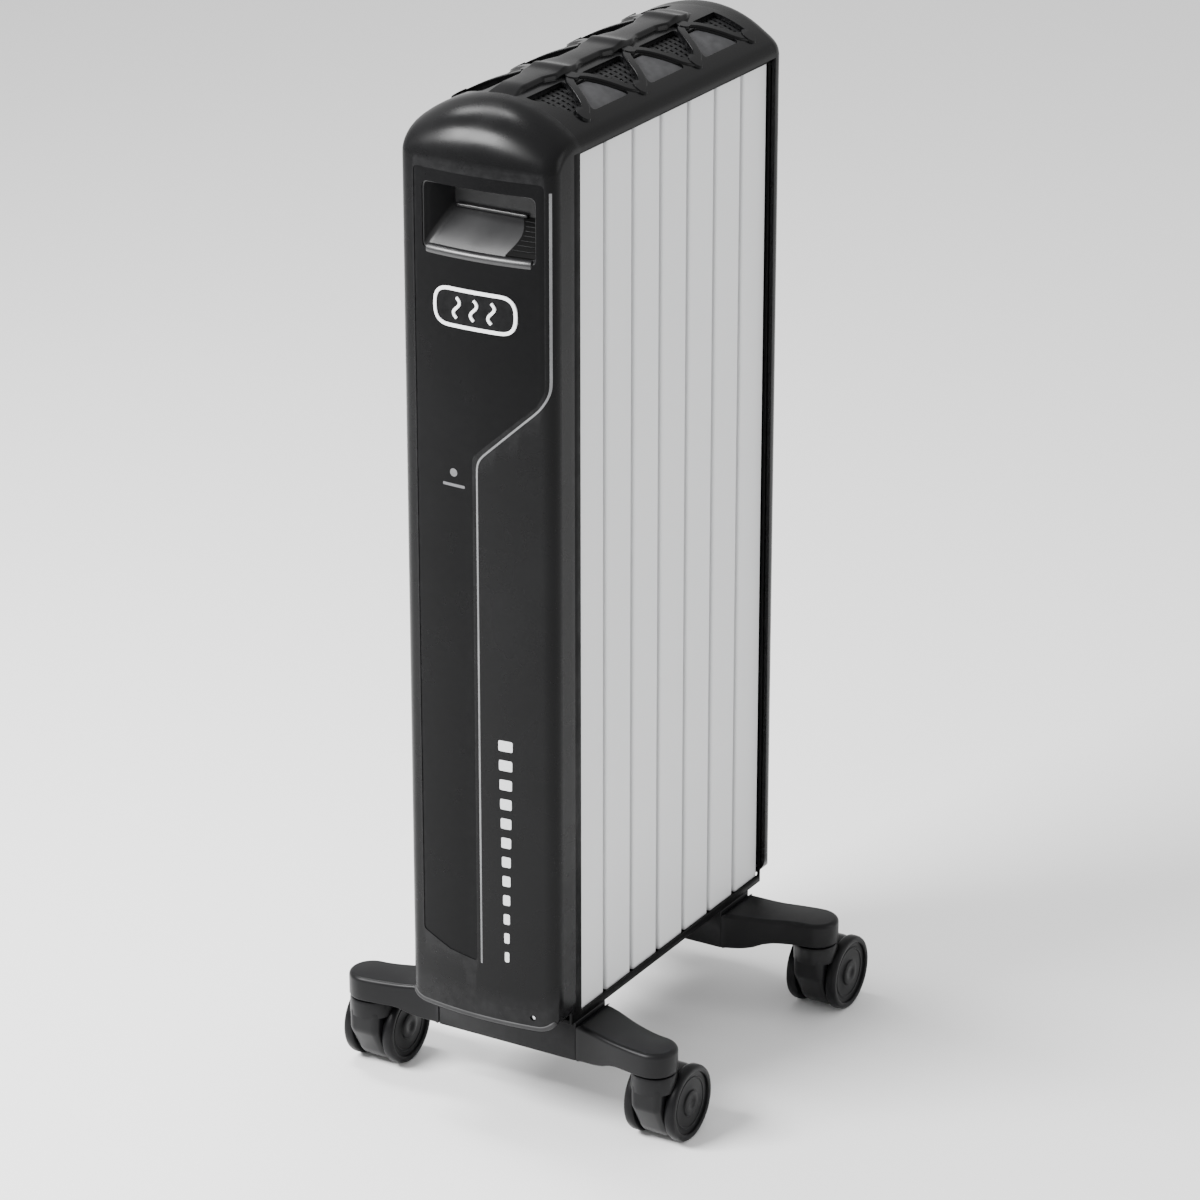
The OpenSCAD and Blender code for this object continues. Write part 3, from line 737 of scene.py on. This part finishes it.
def ribbon(name, path, width, place, low, high, mat, edge=(0.2,), **extra):
    """A strip of constant width along a path, laid on a bent surface."""
    left, right = [], []
    for i, p in enumerate(path):
        a, b = Vector(path[max(0, i - 1)]), Vector(path[min(len(path) - 1, i + 1)])
        along = (b - a).normalized() * width / 2
        left.append((p[0] - along.y, p[1] + along.x))
        right.append((p[0] + along.y, p[1] - along.x))
    count = len(path)
    verts = [place(*p, depth) for a, b in zip(left, right)
             for p, depth in ((a, low), (a, high), (b, high), (b, low))]
    faces = grid_faces(count, 4, wrap=True)
    faces += [(0, 1, 2, 3), tuple(range(4 * count - 4, 4 * count))]
    return soften(new_piece(name, verts, faces, mat, **extra), *edge)


def make_badge():
    """A bright rounded ring round three rising heat waves."""
    y0, z0 = -2, 545
    half_w, half_h, corner, rim = 29, 12.5, 11.5, 2.2
    outer = [(y0 + y, z0 + z) for y, z in
             rounded(box_outline((-half_w, -half_h), (half_w, half_h)), corner, 8)]
    ring = slab("badge_ring", outer, front_point, -0.55, 0.5, mat=MAT["badge"],
                slot="badge_metal", stands_for=["badge"])
    cut(ring, slab("badge_hole", shrink(outer, rim), front_point, -3, 3, make=scratch))
    soften(ring, 0.25)
    slab("badge_field", shrink(outer, rim - 0.4), front_point, 0.15, 0.5, mat=MAT["inset"],
         slot="inset_black")
    wave_gap, wave_h, swing, half_turn, wave_w = 12, 13, 2.2, 6.5, 1.9
    for k in (-1, 0, 1):
        path = [(y0 + wave_gap * k + swing * math.sin(math.pi * t / half_turn),
                 z0 - wave_h / 2 + t) for t in spaced(0, wave_h, 26)]
        ribbon(f"badge_wave_{k + 2}", path, wave_w, front_point, -0.7, 0.3, MAT["badge"],
               slot="badge_metal")


def make_marks():
    """Generic printed marks: dot and dash on the panel, a column of bars beside it."""
    slab("mark_dot", circle(14, 440, 2.6, 28), front_point, 0.38, 0.5,
         mat=MAT["faint_ink"], slot="print_grey", stands_for=["accent_marks"])
    dash = rounded(box_outline((6, 431), (22, 432.8)), 0.8)
    slab("mark_dash", dash, front_point, 0.38, 0.5, mat=MAT["faint_ink"], slot="print_grey")
    bars, bar_y, bar_h, pitch, lowest = 12, -21, 7, 13, 121.5
    for k in range(bars):
        half = (3 + 0.6 * k) / 2
        low = lowest + pitch * k
        bar = rounded(box_outline((bar_y - half, low), (bar_y + half, low + bar_h)), 1.2)
        slab(f"mark_bar_{k + 1}", bar, front_point, -0.12, 0.3, mat=MAT["ink"],
             slot="print_grey")


# ---- top cover ---------------------------------------------------------------


COVER_HOLE_R = 2.5
VEE_IN, VEE_OUT, VEE_WIDE, VEE_NARROW = 15, 38, 24, 6.5
PANE_IN, PANE_OUT, PANE_WIDE, PANE_NARROW = 21, 43, 22.5, 5.5


def vee(x, side):
    """Opening between the spine and two ribs, wide at the spine."""
    y0, y1 = side * VEE_IN, side * VEE_OUT
    pts = [(x - VEE_WIDE, y0), (x + VEE_WIDE, y0), (x + VEE_NARROW, y1), (x - VEE_NARROW, y1)]
    return rounded(pts if side > 0 else list(reversed(pts)), COVER_HOLE_R)


def pane(x, side):
    """Closed field between two ribs, wide at the eave."""
    y0, y1 = side * PANE_IN, side * PANE_OUT
    pts = [(x - PANE_NARROW, y0), (x - PANE_WIDE, y1), (x + PANE_WIDE, y1),
           (x + PANE_NARROW, y0)]
    return rounded(list(reversed(pts)) if side > 0 else pts, COVER_HOLE_R)


def clip_x(outline, low, high):
    return [(min(max(x, low), high), y) for x, y in outline]


def make_cover():
    """Arched shell, open over every second section and dipped for a pane over the rest."""
    ys = across()
    xs = spaced(SEAM_FRONT, SEAM_REAR, 60)
    left = [(HALF_W, z) for z in (EAVE, EAVE + 2)]
    section = [(-y, z) for y, z in left] + [(y, arch_z(y)) for y in ys] + left[::-1]
    verts = [(x, y, z) for x in xs for y, z in section]
    cover = new_piece("cover_shell", verts, grid_faces(len(xs), len(section)), MAT["cover"],
                      slot="gloss_black", stands_for=["top_cover"], sharp=50)
    add_wall(cover, WALL)
    cutters = []
    for side in (-1, 1):
        for i in range(0, FIN_COUNT, 2):
            hole = clip_x(vee(FIN_X[i], side), SEAM_FRONT + 4.5, SEAM_REAR - 5)
            cutters.append(slab(f"hole_{i}_{side}", hole, cover_point, -6, 8, axis=1,
                                make=scratch))
        for i in range(1, FIN_COUNT, 2):
            cutters.append(slab(f"dip_{i}_{side}", pane(FIN_X[i], side), cover_point, -6, 1.9,
                                axis=1, make=scratch))
    cut(cover, *cutters)
    soften(cover, 0.7, 3)

    for side in (-1, 1):
        for i in range(1, FIN_COUNT, 2):
            plate = shrink(pane(FIN_X[i], side), 0.8)
            slab(f"pane_{i}_{'left' if side > 0 else 'right'}", plate, cover_point, 1.3, 2.1,
                 axis=1, mat=MAT["pane"], slot="gloss_black")


def make_ribs():
    """Zigzag ribs between spine and eaves, with a round boss at every node."""
    outer_y, inner_y, rib_w, boss_r = 43.6, 14.6, 5.6, 4.6
    for side, tag in ((-1, "right"), (1, "left")):
        for i in range(FIN_COUNT - 1):
            low, high, way = (i, i + 1, 1) if i % 2 == 0 else (i + 1, i, -1)
            x = FIN_X[low]
            path = flowing([(x, outer_y), (x + way * 8.3, outer_y - 2.4),
                            (x + way * 26.3, inner_y + 2.6), (FIN_X[high], inner_y)], 3, 3)
            ribbon(f"rib_{tag}_{i + 1}", [(x, side * y) for x, y in path], rib_w, cover_point,
                   0.8, -1.3, MAT["cover"], edge=(1.2, 3, 60), slot="gloss_black")
        for i in range(FIN_COUNT):
            y = side * (outer_y - 0.4 if i % 2 == 0 else inner_y + 0.6)
            boss = slab(f"boss_{tag}_{i + 1}", circle(FIN_X[i], y, boss_r, 40), cover_point,
                        -1.8, 0.8, axis=1, step=2, mat=MAT["cover"], slot="gloss_black")
            soften(boss, 1.4, 4)


def make_spine():
    """Raised plateau along the crown, waisted between the rib nodes."""
    xs = [SEAM_FRONT + 0.4 + k * 2 for k in range(109)]
    run_in, run_out, flank, node_rise, node_r = 16, 14, 2.2, 1.7, 5.5
    ridge_rise = SPINE_Z - node_rise - CROWN + 0.4
    rows = []
    for x in xs:
        wave = math.cos(math.pi * (x - FIN_X[1]) / FIN_PITCH)
        start = min(1.0, (x - xs[0]) / run_in)
        finish = min(1.0, max(0.0, (xs[-1] - x) / run_out))
        ease = math.sin(math.pi / 2 * start) * math.sin(math.pi / 2 * finish)
        half = (8.4 + 1.6 * max(-1.0, min(1.0, 2.2 * wave))) * (0.75 + 0.25 * ease)
        bump = sum(math.exp(-((x - FIN_X[k]) / node_r) ** 2) for k in (1, 3, 5))
        top = CROWN - 0.4 + (ridge_rise + node_rise * bump) * ease
        row = [(-half - 3, arch_z(half + 3) - 0.8)]
        for a in quarter(8):
            y = -half - flank * math.cos(a)
            low_z = arch_z(y) - 0.3
            row.append((y, low_z + (top - 0.3 - low_z) * math.sin(a)))
        row += [(-half / 2, top - 0.05), (0, top)]
        rows.append([(x, y, z) for y, z in row] +
                    [(x, -y, z) for y, z in reversed(row[:-1])])
    count = len(rows[0])
    verts = [p for r in rows for p in r]
    faces = grid_faces(len(rows), count)
    faces += [tuple(range(count)), tuple(range(len(verts) - count, len(verts)))]
    new_piece("cover_spine", verts, faces, MAT["cover"], slot="gloss_black", sharp=50)


def make_mesh():
    """Fine bars across the heater under the openings, tied by flat strips and wires."""
    low, high = mm_box("top_mesh")
    pitch, half_w, half_top, thick, chamfer, inset = 5.6, 1.75, 0.4, 1.5, 0.5, 3
    bar_depth, wire_top, wire_low = 3.3, 3.6, 4.9
    verts, faces = [], []
    stations = [-40 + 4 * k for k in range(21)]
    for k in range(int((high[0] - low[0] - 2 * inset) / pitch) + 1):
        x = low[0] + inset + k * pitch
        start = len(verts)
        for y in stations:
            z = arch_z(y) - bar_depth
            verts += [(x - half_w, y, z - thick), (x - half_w, y, z - chamfer),
                      (x - half_top, y, z), (x + half_top, y, z),
                      (x + half_w, y, z - chamfer), (x + half_w, y, z - thick)]
        faces += grid_faces(len(stations), 6, start, wrap=True)
        faces += [tuple(range(start, start + 6)), tuple(range(len(verts) - 6, len(verts)))]
    wires = [(y - 0.7, y + 0.7) for y in [side * (17 + 3.6 * k) for side in (-1, 1)
                                          for k in range(6)]]
    for y0, y1 in [(-42, -39), (-14, 14), (39, 42)] + wires:
        start = len(verts)
        cross = [(y0, wire_top), ((y0 + y1) / 2, wire_top), (y1, wire_top), (y1, wire_low),
                 (y0, wire_low)]
        for x in (low[0], high[0]):
            verts += [(x, y, arch_z(y) - depth) for y, depth in cross]
        faces += grid_faces(2, 5, start, wrap=True)
        faces += [tuple(range(start, start + 5)), tuple(range(start + 5, start + 10))]
    new_piece("mesh_bars", verts, faces, MAT["mesh"], slot="dark_steel",
              stands_for=["top_mesh"])


# ---- steel sections ------------------------------------------------------------


FLANGE_HALF, FLANGE_LIP, FLANGE_T, FLANGE_R = 14.8, 10.0, 1.1, 1.8
WEB_HALF, WEB_LOW, WEB_HIGH, WEB_STEP = 47.5, 100, 608, 4
BEAD_Y, BEAD_HALF, BEAD_RISE = 30, 4.5, 1.3
HUBS = (("low", 150), ("high", 555))
HUB_PROFILE = [(14, -16.7), (19, -16.7), (20, -15.7), (20, -3), (23, -0.6), (23, 0.6), (20, 3),
               (20, 15.7), (19, 16.7), (14, 16.7)]
DUCT_LOW, DUCT_HIGH = 165, 540


def flange_ring(face):
    """Cross-section of a flange: flat face, rolled edges and lips turned inwards."""
    half, t, r = FLANGE_HALF, FLANGE_T, FLANGE_R
    bend = [(half - r + r * math.sin(a), face - r + r * math.cos(a)) for a in quarter(6)]
    outer = [(0, face), (half - r - 3, face)] + bend + [(half, face - FLANGE_LIP)]
    inner = [(half - t, face - FLANGE_LIP), (half - t, face - r), (half - r, face - t),
             (0, face - t)]
    right = outer + inner
    return right + [(-x, y) for x, y in reversed(right)][1:-1]


def web_bead(y, z):
    """How far the web's two pressed beads stand out."""
    if abs(abs(y) - BEAD_Y) >= BEAD_HALF or not WEB_LOW < z < WEB_HIGH:
        return 0
    return BEAD_RISE * max(0.0, math.cos(math.pi * (abs(y) - BEAD_Y) / (2 * BEAD_HALF)))


def make_sections():
    """Pressed sections: flanges with rolled edges, web, duct and hubs."""
    duct = rounded(box_outline((-7, -8), (7, 8)), 4)
    for i, x0 in enumerate(FIN_X):
        low, high = mm_box(f"section_{i + 1}")
        ring = flange_ring(high[1])
        count = len(ring)
        inner_levels = spaced(low[2], high[2], 20)[1:-1]
        levels = [low[2], low[2] + 0.5] + inner_levels + [high[2] - 0.5, high[2]]
        verts, faces = [], []
        for side in (1, -1):
            start = len(verts)
            for z in levels:
                verts += [(x0 + x, side * y, z) for x, y in ring]
            faces += grid_faces(len(levels), count, start, wrap=True)
            for base in (start, len(verts) - count):
                faces.append(tuple(range(base, base + count)))
        start = len(verts)
        ys = spaced(-WEB_HALF, WEB_HALF, 38)
        web_levels = (WEB_LOW, WEB_LOW + WEB_STEP, WEB_HIGH - WEB_STEP, WEB_HIGH)
        for z in web_levels:
            verts += [(x0 + 0.6 + web_bead(y, z), y, z) for y in ys]
        faces += grid_faces(len(web_levels), len(ys), start)
        new_piece(f"section_body_{i + 1}", verts, faces, MAT["white"], slot="white_steel",
                  stands_for=[f"section_{i + 1}"])
        for tag, z in HUBS:
            turned(f"hub_{tag}_{i + 1}", HUB_PROFILE,
                   lambda a, b, h, x0=x0, z=z: (x0 + h, a, z + b), 48, MAT["white"],
                   slot="white_steel")
        verts = [(x0 + x, y, z) for z in (DUCT_LOW, DUCT_HIGH) for x, y in duct]
        new_piece(f"duct_{i + 1}", verts, grid_faces(2, len(duct), wrap=True), MAT["white"],
                  slot="white_steel")


# ---- rear cap ------------------------------------------------------------------


def make_rear():
    bend, crown_half, bend_base = 12.0, 40, 633

    def rise(y):
        share = (arch_z(y) - bend_base) / (arch_z(crown_half) - bend_base)
        return bend * (1 if abs(y) < crown_half else share)

    def run(y):
        if abs(y) < crown_half:
            return bend
        return min(bend, REAR_TIP - face_depth(y) - REAR_FLANGE - 0.4)

    cap = cap_shell("cap_rear", REAR_TIP, SEAM_REAR, REAR_FLANGE, rise, run,
                    MAT["cap"], "cap_plastic", "rear_cap")
    flange, gap = 2, 0.3
    holes = []
    for node in ("button_power", "button_up", "button_down"):
        low, high = mm_box(node)
        holes.append(circle((low[1] + high[1]) / 2, (low[2] + high[2]) / 2,
                            (high[1] - low[1]) / 2 - flange + gap, 48))
    rocker_hole = box_outline((-11, 415.8), (11, 444.2))
    gland_z, gland_hole_r = 108, 7.1
    holes += [rounded(rocker_hole, 1.5), circle(0, gland_z, gland_hole_r, 48)]
    cut(cap, *[prism(f"rear_hole_{k}", outline, along_x, 120, 160)
               for k, outline in enumerate(holes)])
    soften(cap, 0.45)


# ---- feet and casters ------------------------------------------------------------


CORNERS = {"front_left": (-108, 105), "front_right": (-108, -105),
           "rear_left": (106, 105), "rear_right": (106, -105)}
KNUCKLE_R = 15.0
LEG_ROOT, LEG_REACH = 51, 105.0           # y of a left leg's root and of its knuckle
ROOT_OUTER, ROOT_INNER = -5.7, 32.0       # its sides at the root, from the knuckle's axis
LEG_UNDERSIDE = [(51, 46), (64, 47), (71, 48.4), (77, 51), (83, 52.3), (88, 52.5),
                 (130, 52.5)]
LEG_TOP, LEG_DROP, LEG_DROP_RUN = 71, 2, 30


def ease(t):
    return t * t * (3 - 2 * t)


def leg_outline():
    """Plan of a leg at the left: swept from its straight root to a round knuckle."""
    def flank(root, end):
        return [(root + (end - root) * (0.35 * t + 0.65 * ease(t)),
                 LEG_ROOT + (LEG_REACH - LEG_ROOT) * t) for t in spaced(0, 1, 18)]

    knuckle = circle(0, LEG_REACH, KNUCKLE_R, 48)[1:24]
    return flank(ROOT_INNER, KNUCKLE_R) + knuckle + flank(ROOT_OUTER, -KNUCKLE_R)[::-1]


def leg_low(y):
    for (y0, z0), (y1, z1) in zip(LEG_UNDERSIDE, LEG_UNDERSIDE[1:]):
        if y <= y1:
            return z0 + (z1 - z0) * (y - y0) / (y1 - y0)
    return LEG_UNDERSIDE[-1][1]


def leg_high(y):
    return LEG_TOP - LEG_DROP * ease(min(1.0, max(0.0, (y - LEG_ROOT) / LEG_DROP_RUN)))


def make_legs():
    edge_low, edge_high, root = 1.4, 3.2, LEG_ROOT + 0.15
    outline = leg_outline()
    count = len(outline)
    for corner, (sx, sy) in CORNERS.items():
        end = 1 if sx < 0 else -1
        side = 1 if sy > 0 else -1

        def layer(inward, z_of):
            return [(sx + end * x, side * max(y, root), z_of(max(y, root)))
                    for x, y in shrink(outline, inward)]

        rows = [layer(edge_low * (1 - math.sin(a)),
                      lambda y, a=a: leg_low(y) + edge_low * (1 - math.cos(a)))
                for a in quarter(5)]
        rows += [layer(edge_high * (1 - math.cos(a)),
                       lambda y, a=a: leg_high(y) - edge_high * (1 - math.sin(a)))
                 for a in quarter(6)]
        verts = [p for r in rows for p in r]
        faces = grid_faces(len(rows), count, wrap=True)
        for base, flip in ((0, True), (len(verts) - count, False)):
            for k in range(count // 2):
                quad = (base + k, base + k + 1, base + count - 2 - k, base + count - 1 - k)
                if len(set(quad)) == 4:
                    faces.append(tuple(reversed(quad)) if flip else quad)
        new_piece(f"foot_leg_{corner}", verts, faces, MAT["foot"], slot="foot_plastic",
                  stands_for=[f"leg_{corner}"], sharp=40)


def hull_outline(circles, steps=96):
    """Convex outline round some circles, given as (x, z, radius)."""
    pts = sorted(set((round(x, 4), round(z, 4)) for spec in circles
                     for x, z in circle(*spec, steps)))

    def half(points):
        out = []
        for p in points:
            while len(out) > 1 and ((out[-1][0] - out[-2][0]) * (p[1] - out[-2][1])
                                    - (out[-1][1] - out[-2][1]) * (p[0] - out[-2][0])) <= 0:
                out.pop()
            out.append(p)
        return out[:-1]

    return half(pts) + half(pts[::-1])


TRAIL, WHEEL_R = 17.0, 25.0
HOOD_HALF, HOOD_EDGE = 11.0, 5.0
HOOD_CIRCLES = [(TRAIL, WHEEL_R, 23.8), (-3, 32, 10), (-3, 40.7, 10)]
NECK_PROFILE = [(0.5, 51.7), (13.2, 51.7), (14.1, 51.2), (14.6, 50.2), (14.6, 40), (0.5, 40)]
ARCH_CUT_R, ARCH_CUT_END = 25.5, 40
WHEEL_GAP = 0.3
# radius and distance from the hood, from the axle bore over the tread to the hub's face
WHEEL_PROFILE = [
    (2.6, 0.2), (WHEEL_R - 1.6, 0), (WHEEL_R - 0.5, 0.4), (WHEEL_R, 1.3),
    (WHEEL_R + 0.02, 3.5), (WHEEL_R - 0.1, 5.2), (WHEEL_R - 0.7, 6.5), (WHEEL_R - 1.8, 7.0),
    (WHEEL_R - 3.6, 7.0), (WHEEL_R - 4.3, 6.6), (WHEEL_R - 4.6, 5.3), (WHEEL_R - 7.5, 5.05),
    (WHEEL_R - 7.9, 5.45), (WHEEL_R - 8.7, 5.45), (WHEEL_R - 9.1, 5.0), (9.5, 4.9), (8.7, 5.2),
    (8.3, 6.1), (7.2, 6.5), (3.4, 6.6), (2.9, 6.2), (0.02, 6.1)]


def make_hood(corner, sx, sy):
    profile = hull_outline(HOOD_CIRCLES)
    rows = []
    for a in quarter(5):
        inward = HOOD_EDGE * (1 - math.sin(a))
        y = -HOOD_HALF + HOOD_EDGE * (1 - math.cos(a))
        rows.append([(sx + x, sy + y, z) for x, z in shrink(profile, inward)])
    rows += [[(x, 2 * sy - y, z) for x, y, z in r] for r in reversed(rows)]
    count = len(profile)
    verts = [p for r in rows for p in r]
    faces = grid_faces(len(rows), count, wrap=True)
    faces += [tuple(range(count)), tuple(range(len(verts) - count, len(verts)))]
    new_piece(f"caster_hood_{corner}", verts, faces, MAT["hood"], body=f"caster_{corner}",
              slot="foot_plastic", stands_for=[f"hood_{corner}"], sharp=40)


def make_casters():
    for corner, (sx, sy) in CORNERS.items():
        make_hood(corner, sx, sy)
        collar = turned(f"caster_neck_{corner}", NECK_PROFILE,
                        lambda a, b, h, sx=sx, sy=sy: (sx + a, sy + b, h), 64, MAT["hood"],
                        body=f"caster_{corner}", slot="foot_plastic")
        for side in (-1, 1):
            cut(collar, prism(f"arch_{corner}_{side}", circle(TRAIL, WHEEL_R, ARCH_CUT_R, 96),
                              lambda x, z, y, sx=sx: (sx + x, y, z),
                              sy + side * HOOD_HALF, sy + side * ARCH_CUT_END))
        soften(collar, 0.5)

        for tag, side in (("a", 1), ("b", -1)):
            turned(f"caster_wheel_{corner}_{tag}", WHEEL_PROFILE,
                   lambda a, b, h, sx=sx, sy=sy, side=side:
                   (sx + TRAIL + a, sy + side * (HOOD_HALF + WHEEL_GAP + h), WHEEL_R + b),
                   96, MAT["wheel"], body=f"roller_{corner}_{tag}", slot="wheel_plastic",
                   stands_for=[f"wheel_{corner}_{tag}"], sharp=45)


# ---- CAD nodes that stay ------------------------------------------------------------


# node: material and width of its softened edges
KEPT = {
    "side_frame_left": ("frame", 0.5), "side_frame_right": ("frame", 0.5),
    "control_fascia": ("inset", 0.4), "display_window": ("window", 0.3),
    "button_power": ("button", 0.8), "button_up": ("button", 0.8),
    "button_down": ("button", 0.8), "mains_rocker": ("rocker", 0.5),
    "rocker_frame": ("cap", 0.3), "cord_gland": ("foot", 0.7), "control_board": ("board", 0.15),
    "terminal_block": ("ceramic", 0.6), "thermal_cutout": ("ceramic", 0.4),
    "heating_element": ("steel", 0), "element_flange": ("steel", 0.5),
    "oil_plugs": ("steel", 0.5), "tie_rods": ("steel", 0.4), "base_pan": ("frame", 0.5),
    "tilt_switch": ("ceramic", 0.4), "tilt_pendulum": ("brass", 0.3),
    "front_foot_bar": ("foot", 1.0), "rear_foot_bar": ("foot", 1.0),
    "caster_stems": ("steel", 0.4), "screws": ("steel", 0.3),
}
KEPT.update({f"axle_{corner}": ("steel", 0.3) for corner in CORNERS})


def dress_kept_nodes():
    for name, (mat, edge) in KEPT.items():
        obj = NODES[name]
        obj.data.materials.clear()
        obj.data.materials.append(MAT[mat])
        obj.data.shade_smooth()
        obj.data.set_sharp_from_angle(angle=math.radians(30))
        if edge:
            weld = obj.modifiers.new("weld", "WELD")
            weld.merge_threshold = MERGE
            soften(obj, edge, 2, 40)


# ---- light and floor ------------------------------------------------------------------


def add_light(name, place, aim, energy, length, width, along):
    """A rectangular lamp whose long side runs as near as it can to `along`."""
    data = bpy.data.lights.new(name, "AREA")
    data.energy, data.shape, data.size, data.size_y = energy, "RECTANGLE", length, width
    light = bpy.data.objects.new(name, data)
    bpy.context.scene.collection.objects.link(light)
    back = (Vector(place) - Vector(aim)).normalized()
    side = Vector(along) - back * back.dot(Vector(along))
    side.normalize()
    light.location = place
    light.rotation_mode = "QUATERNION"
    light.rotation_quaternion = Matrix((side, back.cross(side), back)).transposed().to_quaternion()


WORLD_STRENGTH = 0.95
FLOOR_HALF = 9000
DOME = (-0.13, 0.0, 0.65)
# lamp: place and aim in metres, watts, length, width, direction of the long side
LAMPS = {
    "strip_high": ((0.08, 0.85, 2.2), DOME, 36, 1.1, 0.36, (0, 1, 0)),
    "strip_low": ((-1.30, 0.85, 1.62), DOME, 110, 1.0, 0.6, (0, 1, 0)),
    "side_soft": ((0.9, -2.6, 1.1), (0, 0, 0.35), 16, 1.6, 1.2, (0, 0, 1)),
}


def make_stage():
    world = bpy.data.worlds.new("studio")
    bpy.context.scene.world = world
    world.use_nodes = True
    back = world.node_tree.nodes["Background"]
    back.inputs["Color"].default_value = (1, 1, 1, 1)
    back.inputs["Strength"].default_value = WORLD_STRENGTH
    for name, row in LAMPS.items():
        add_light(name, *row)

    pale = Surface("pale_floor", (0.9, 0.9, 0.9), 0.6, specular=0.2).mat
    corners = box_outline((-FLOOR_HALF, -FLOOR_HALF), (FLOOR_HALF, FLOOR_HALF))
    floor = new_piece("floor", [(x, y, 0) for x, y in corners], [(0, 1, 2, 3)], pale, body=None)


make_front()
make_pocket()
make_badge()
make_marks()
make_cover()
make_ribs()
make_spine()
make_mesh()
make_sections()
make_rear()
make_legs()
make_casters()
dress_kept_nodes()
make_stage()
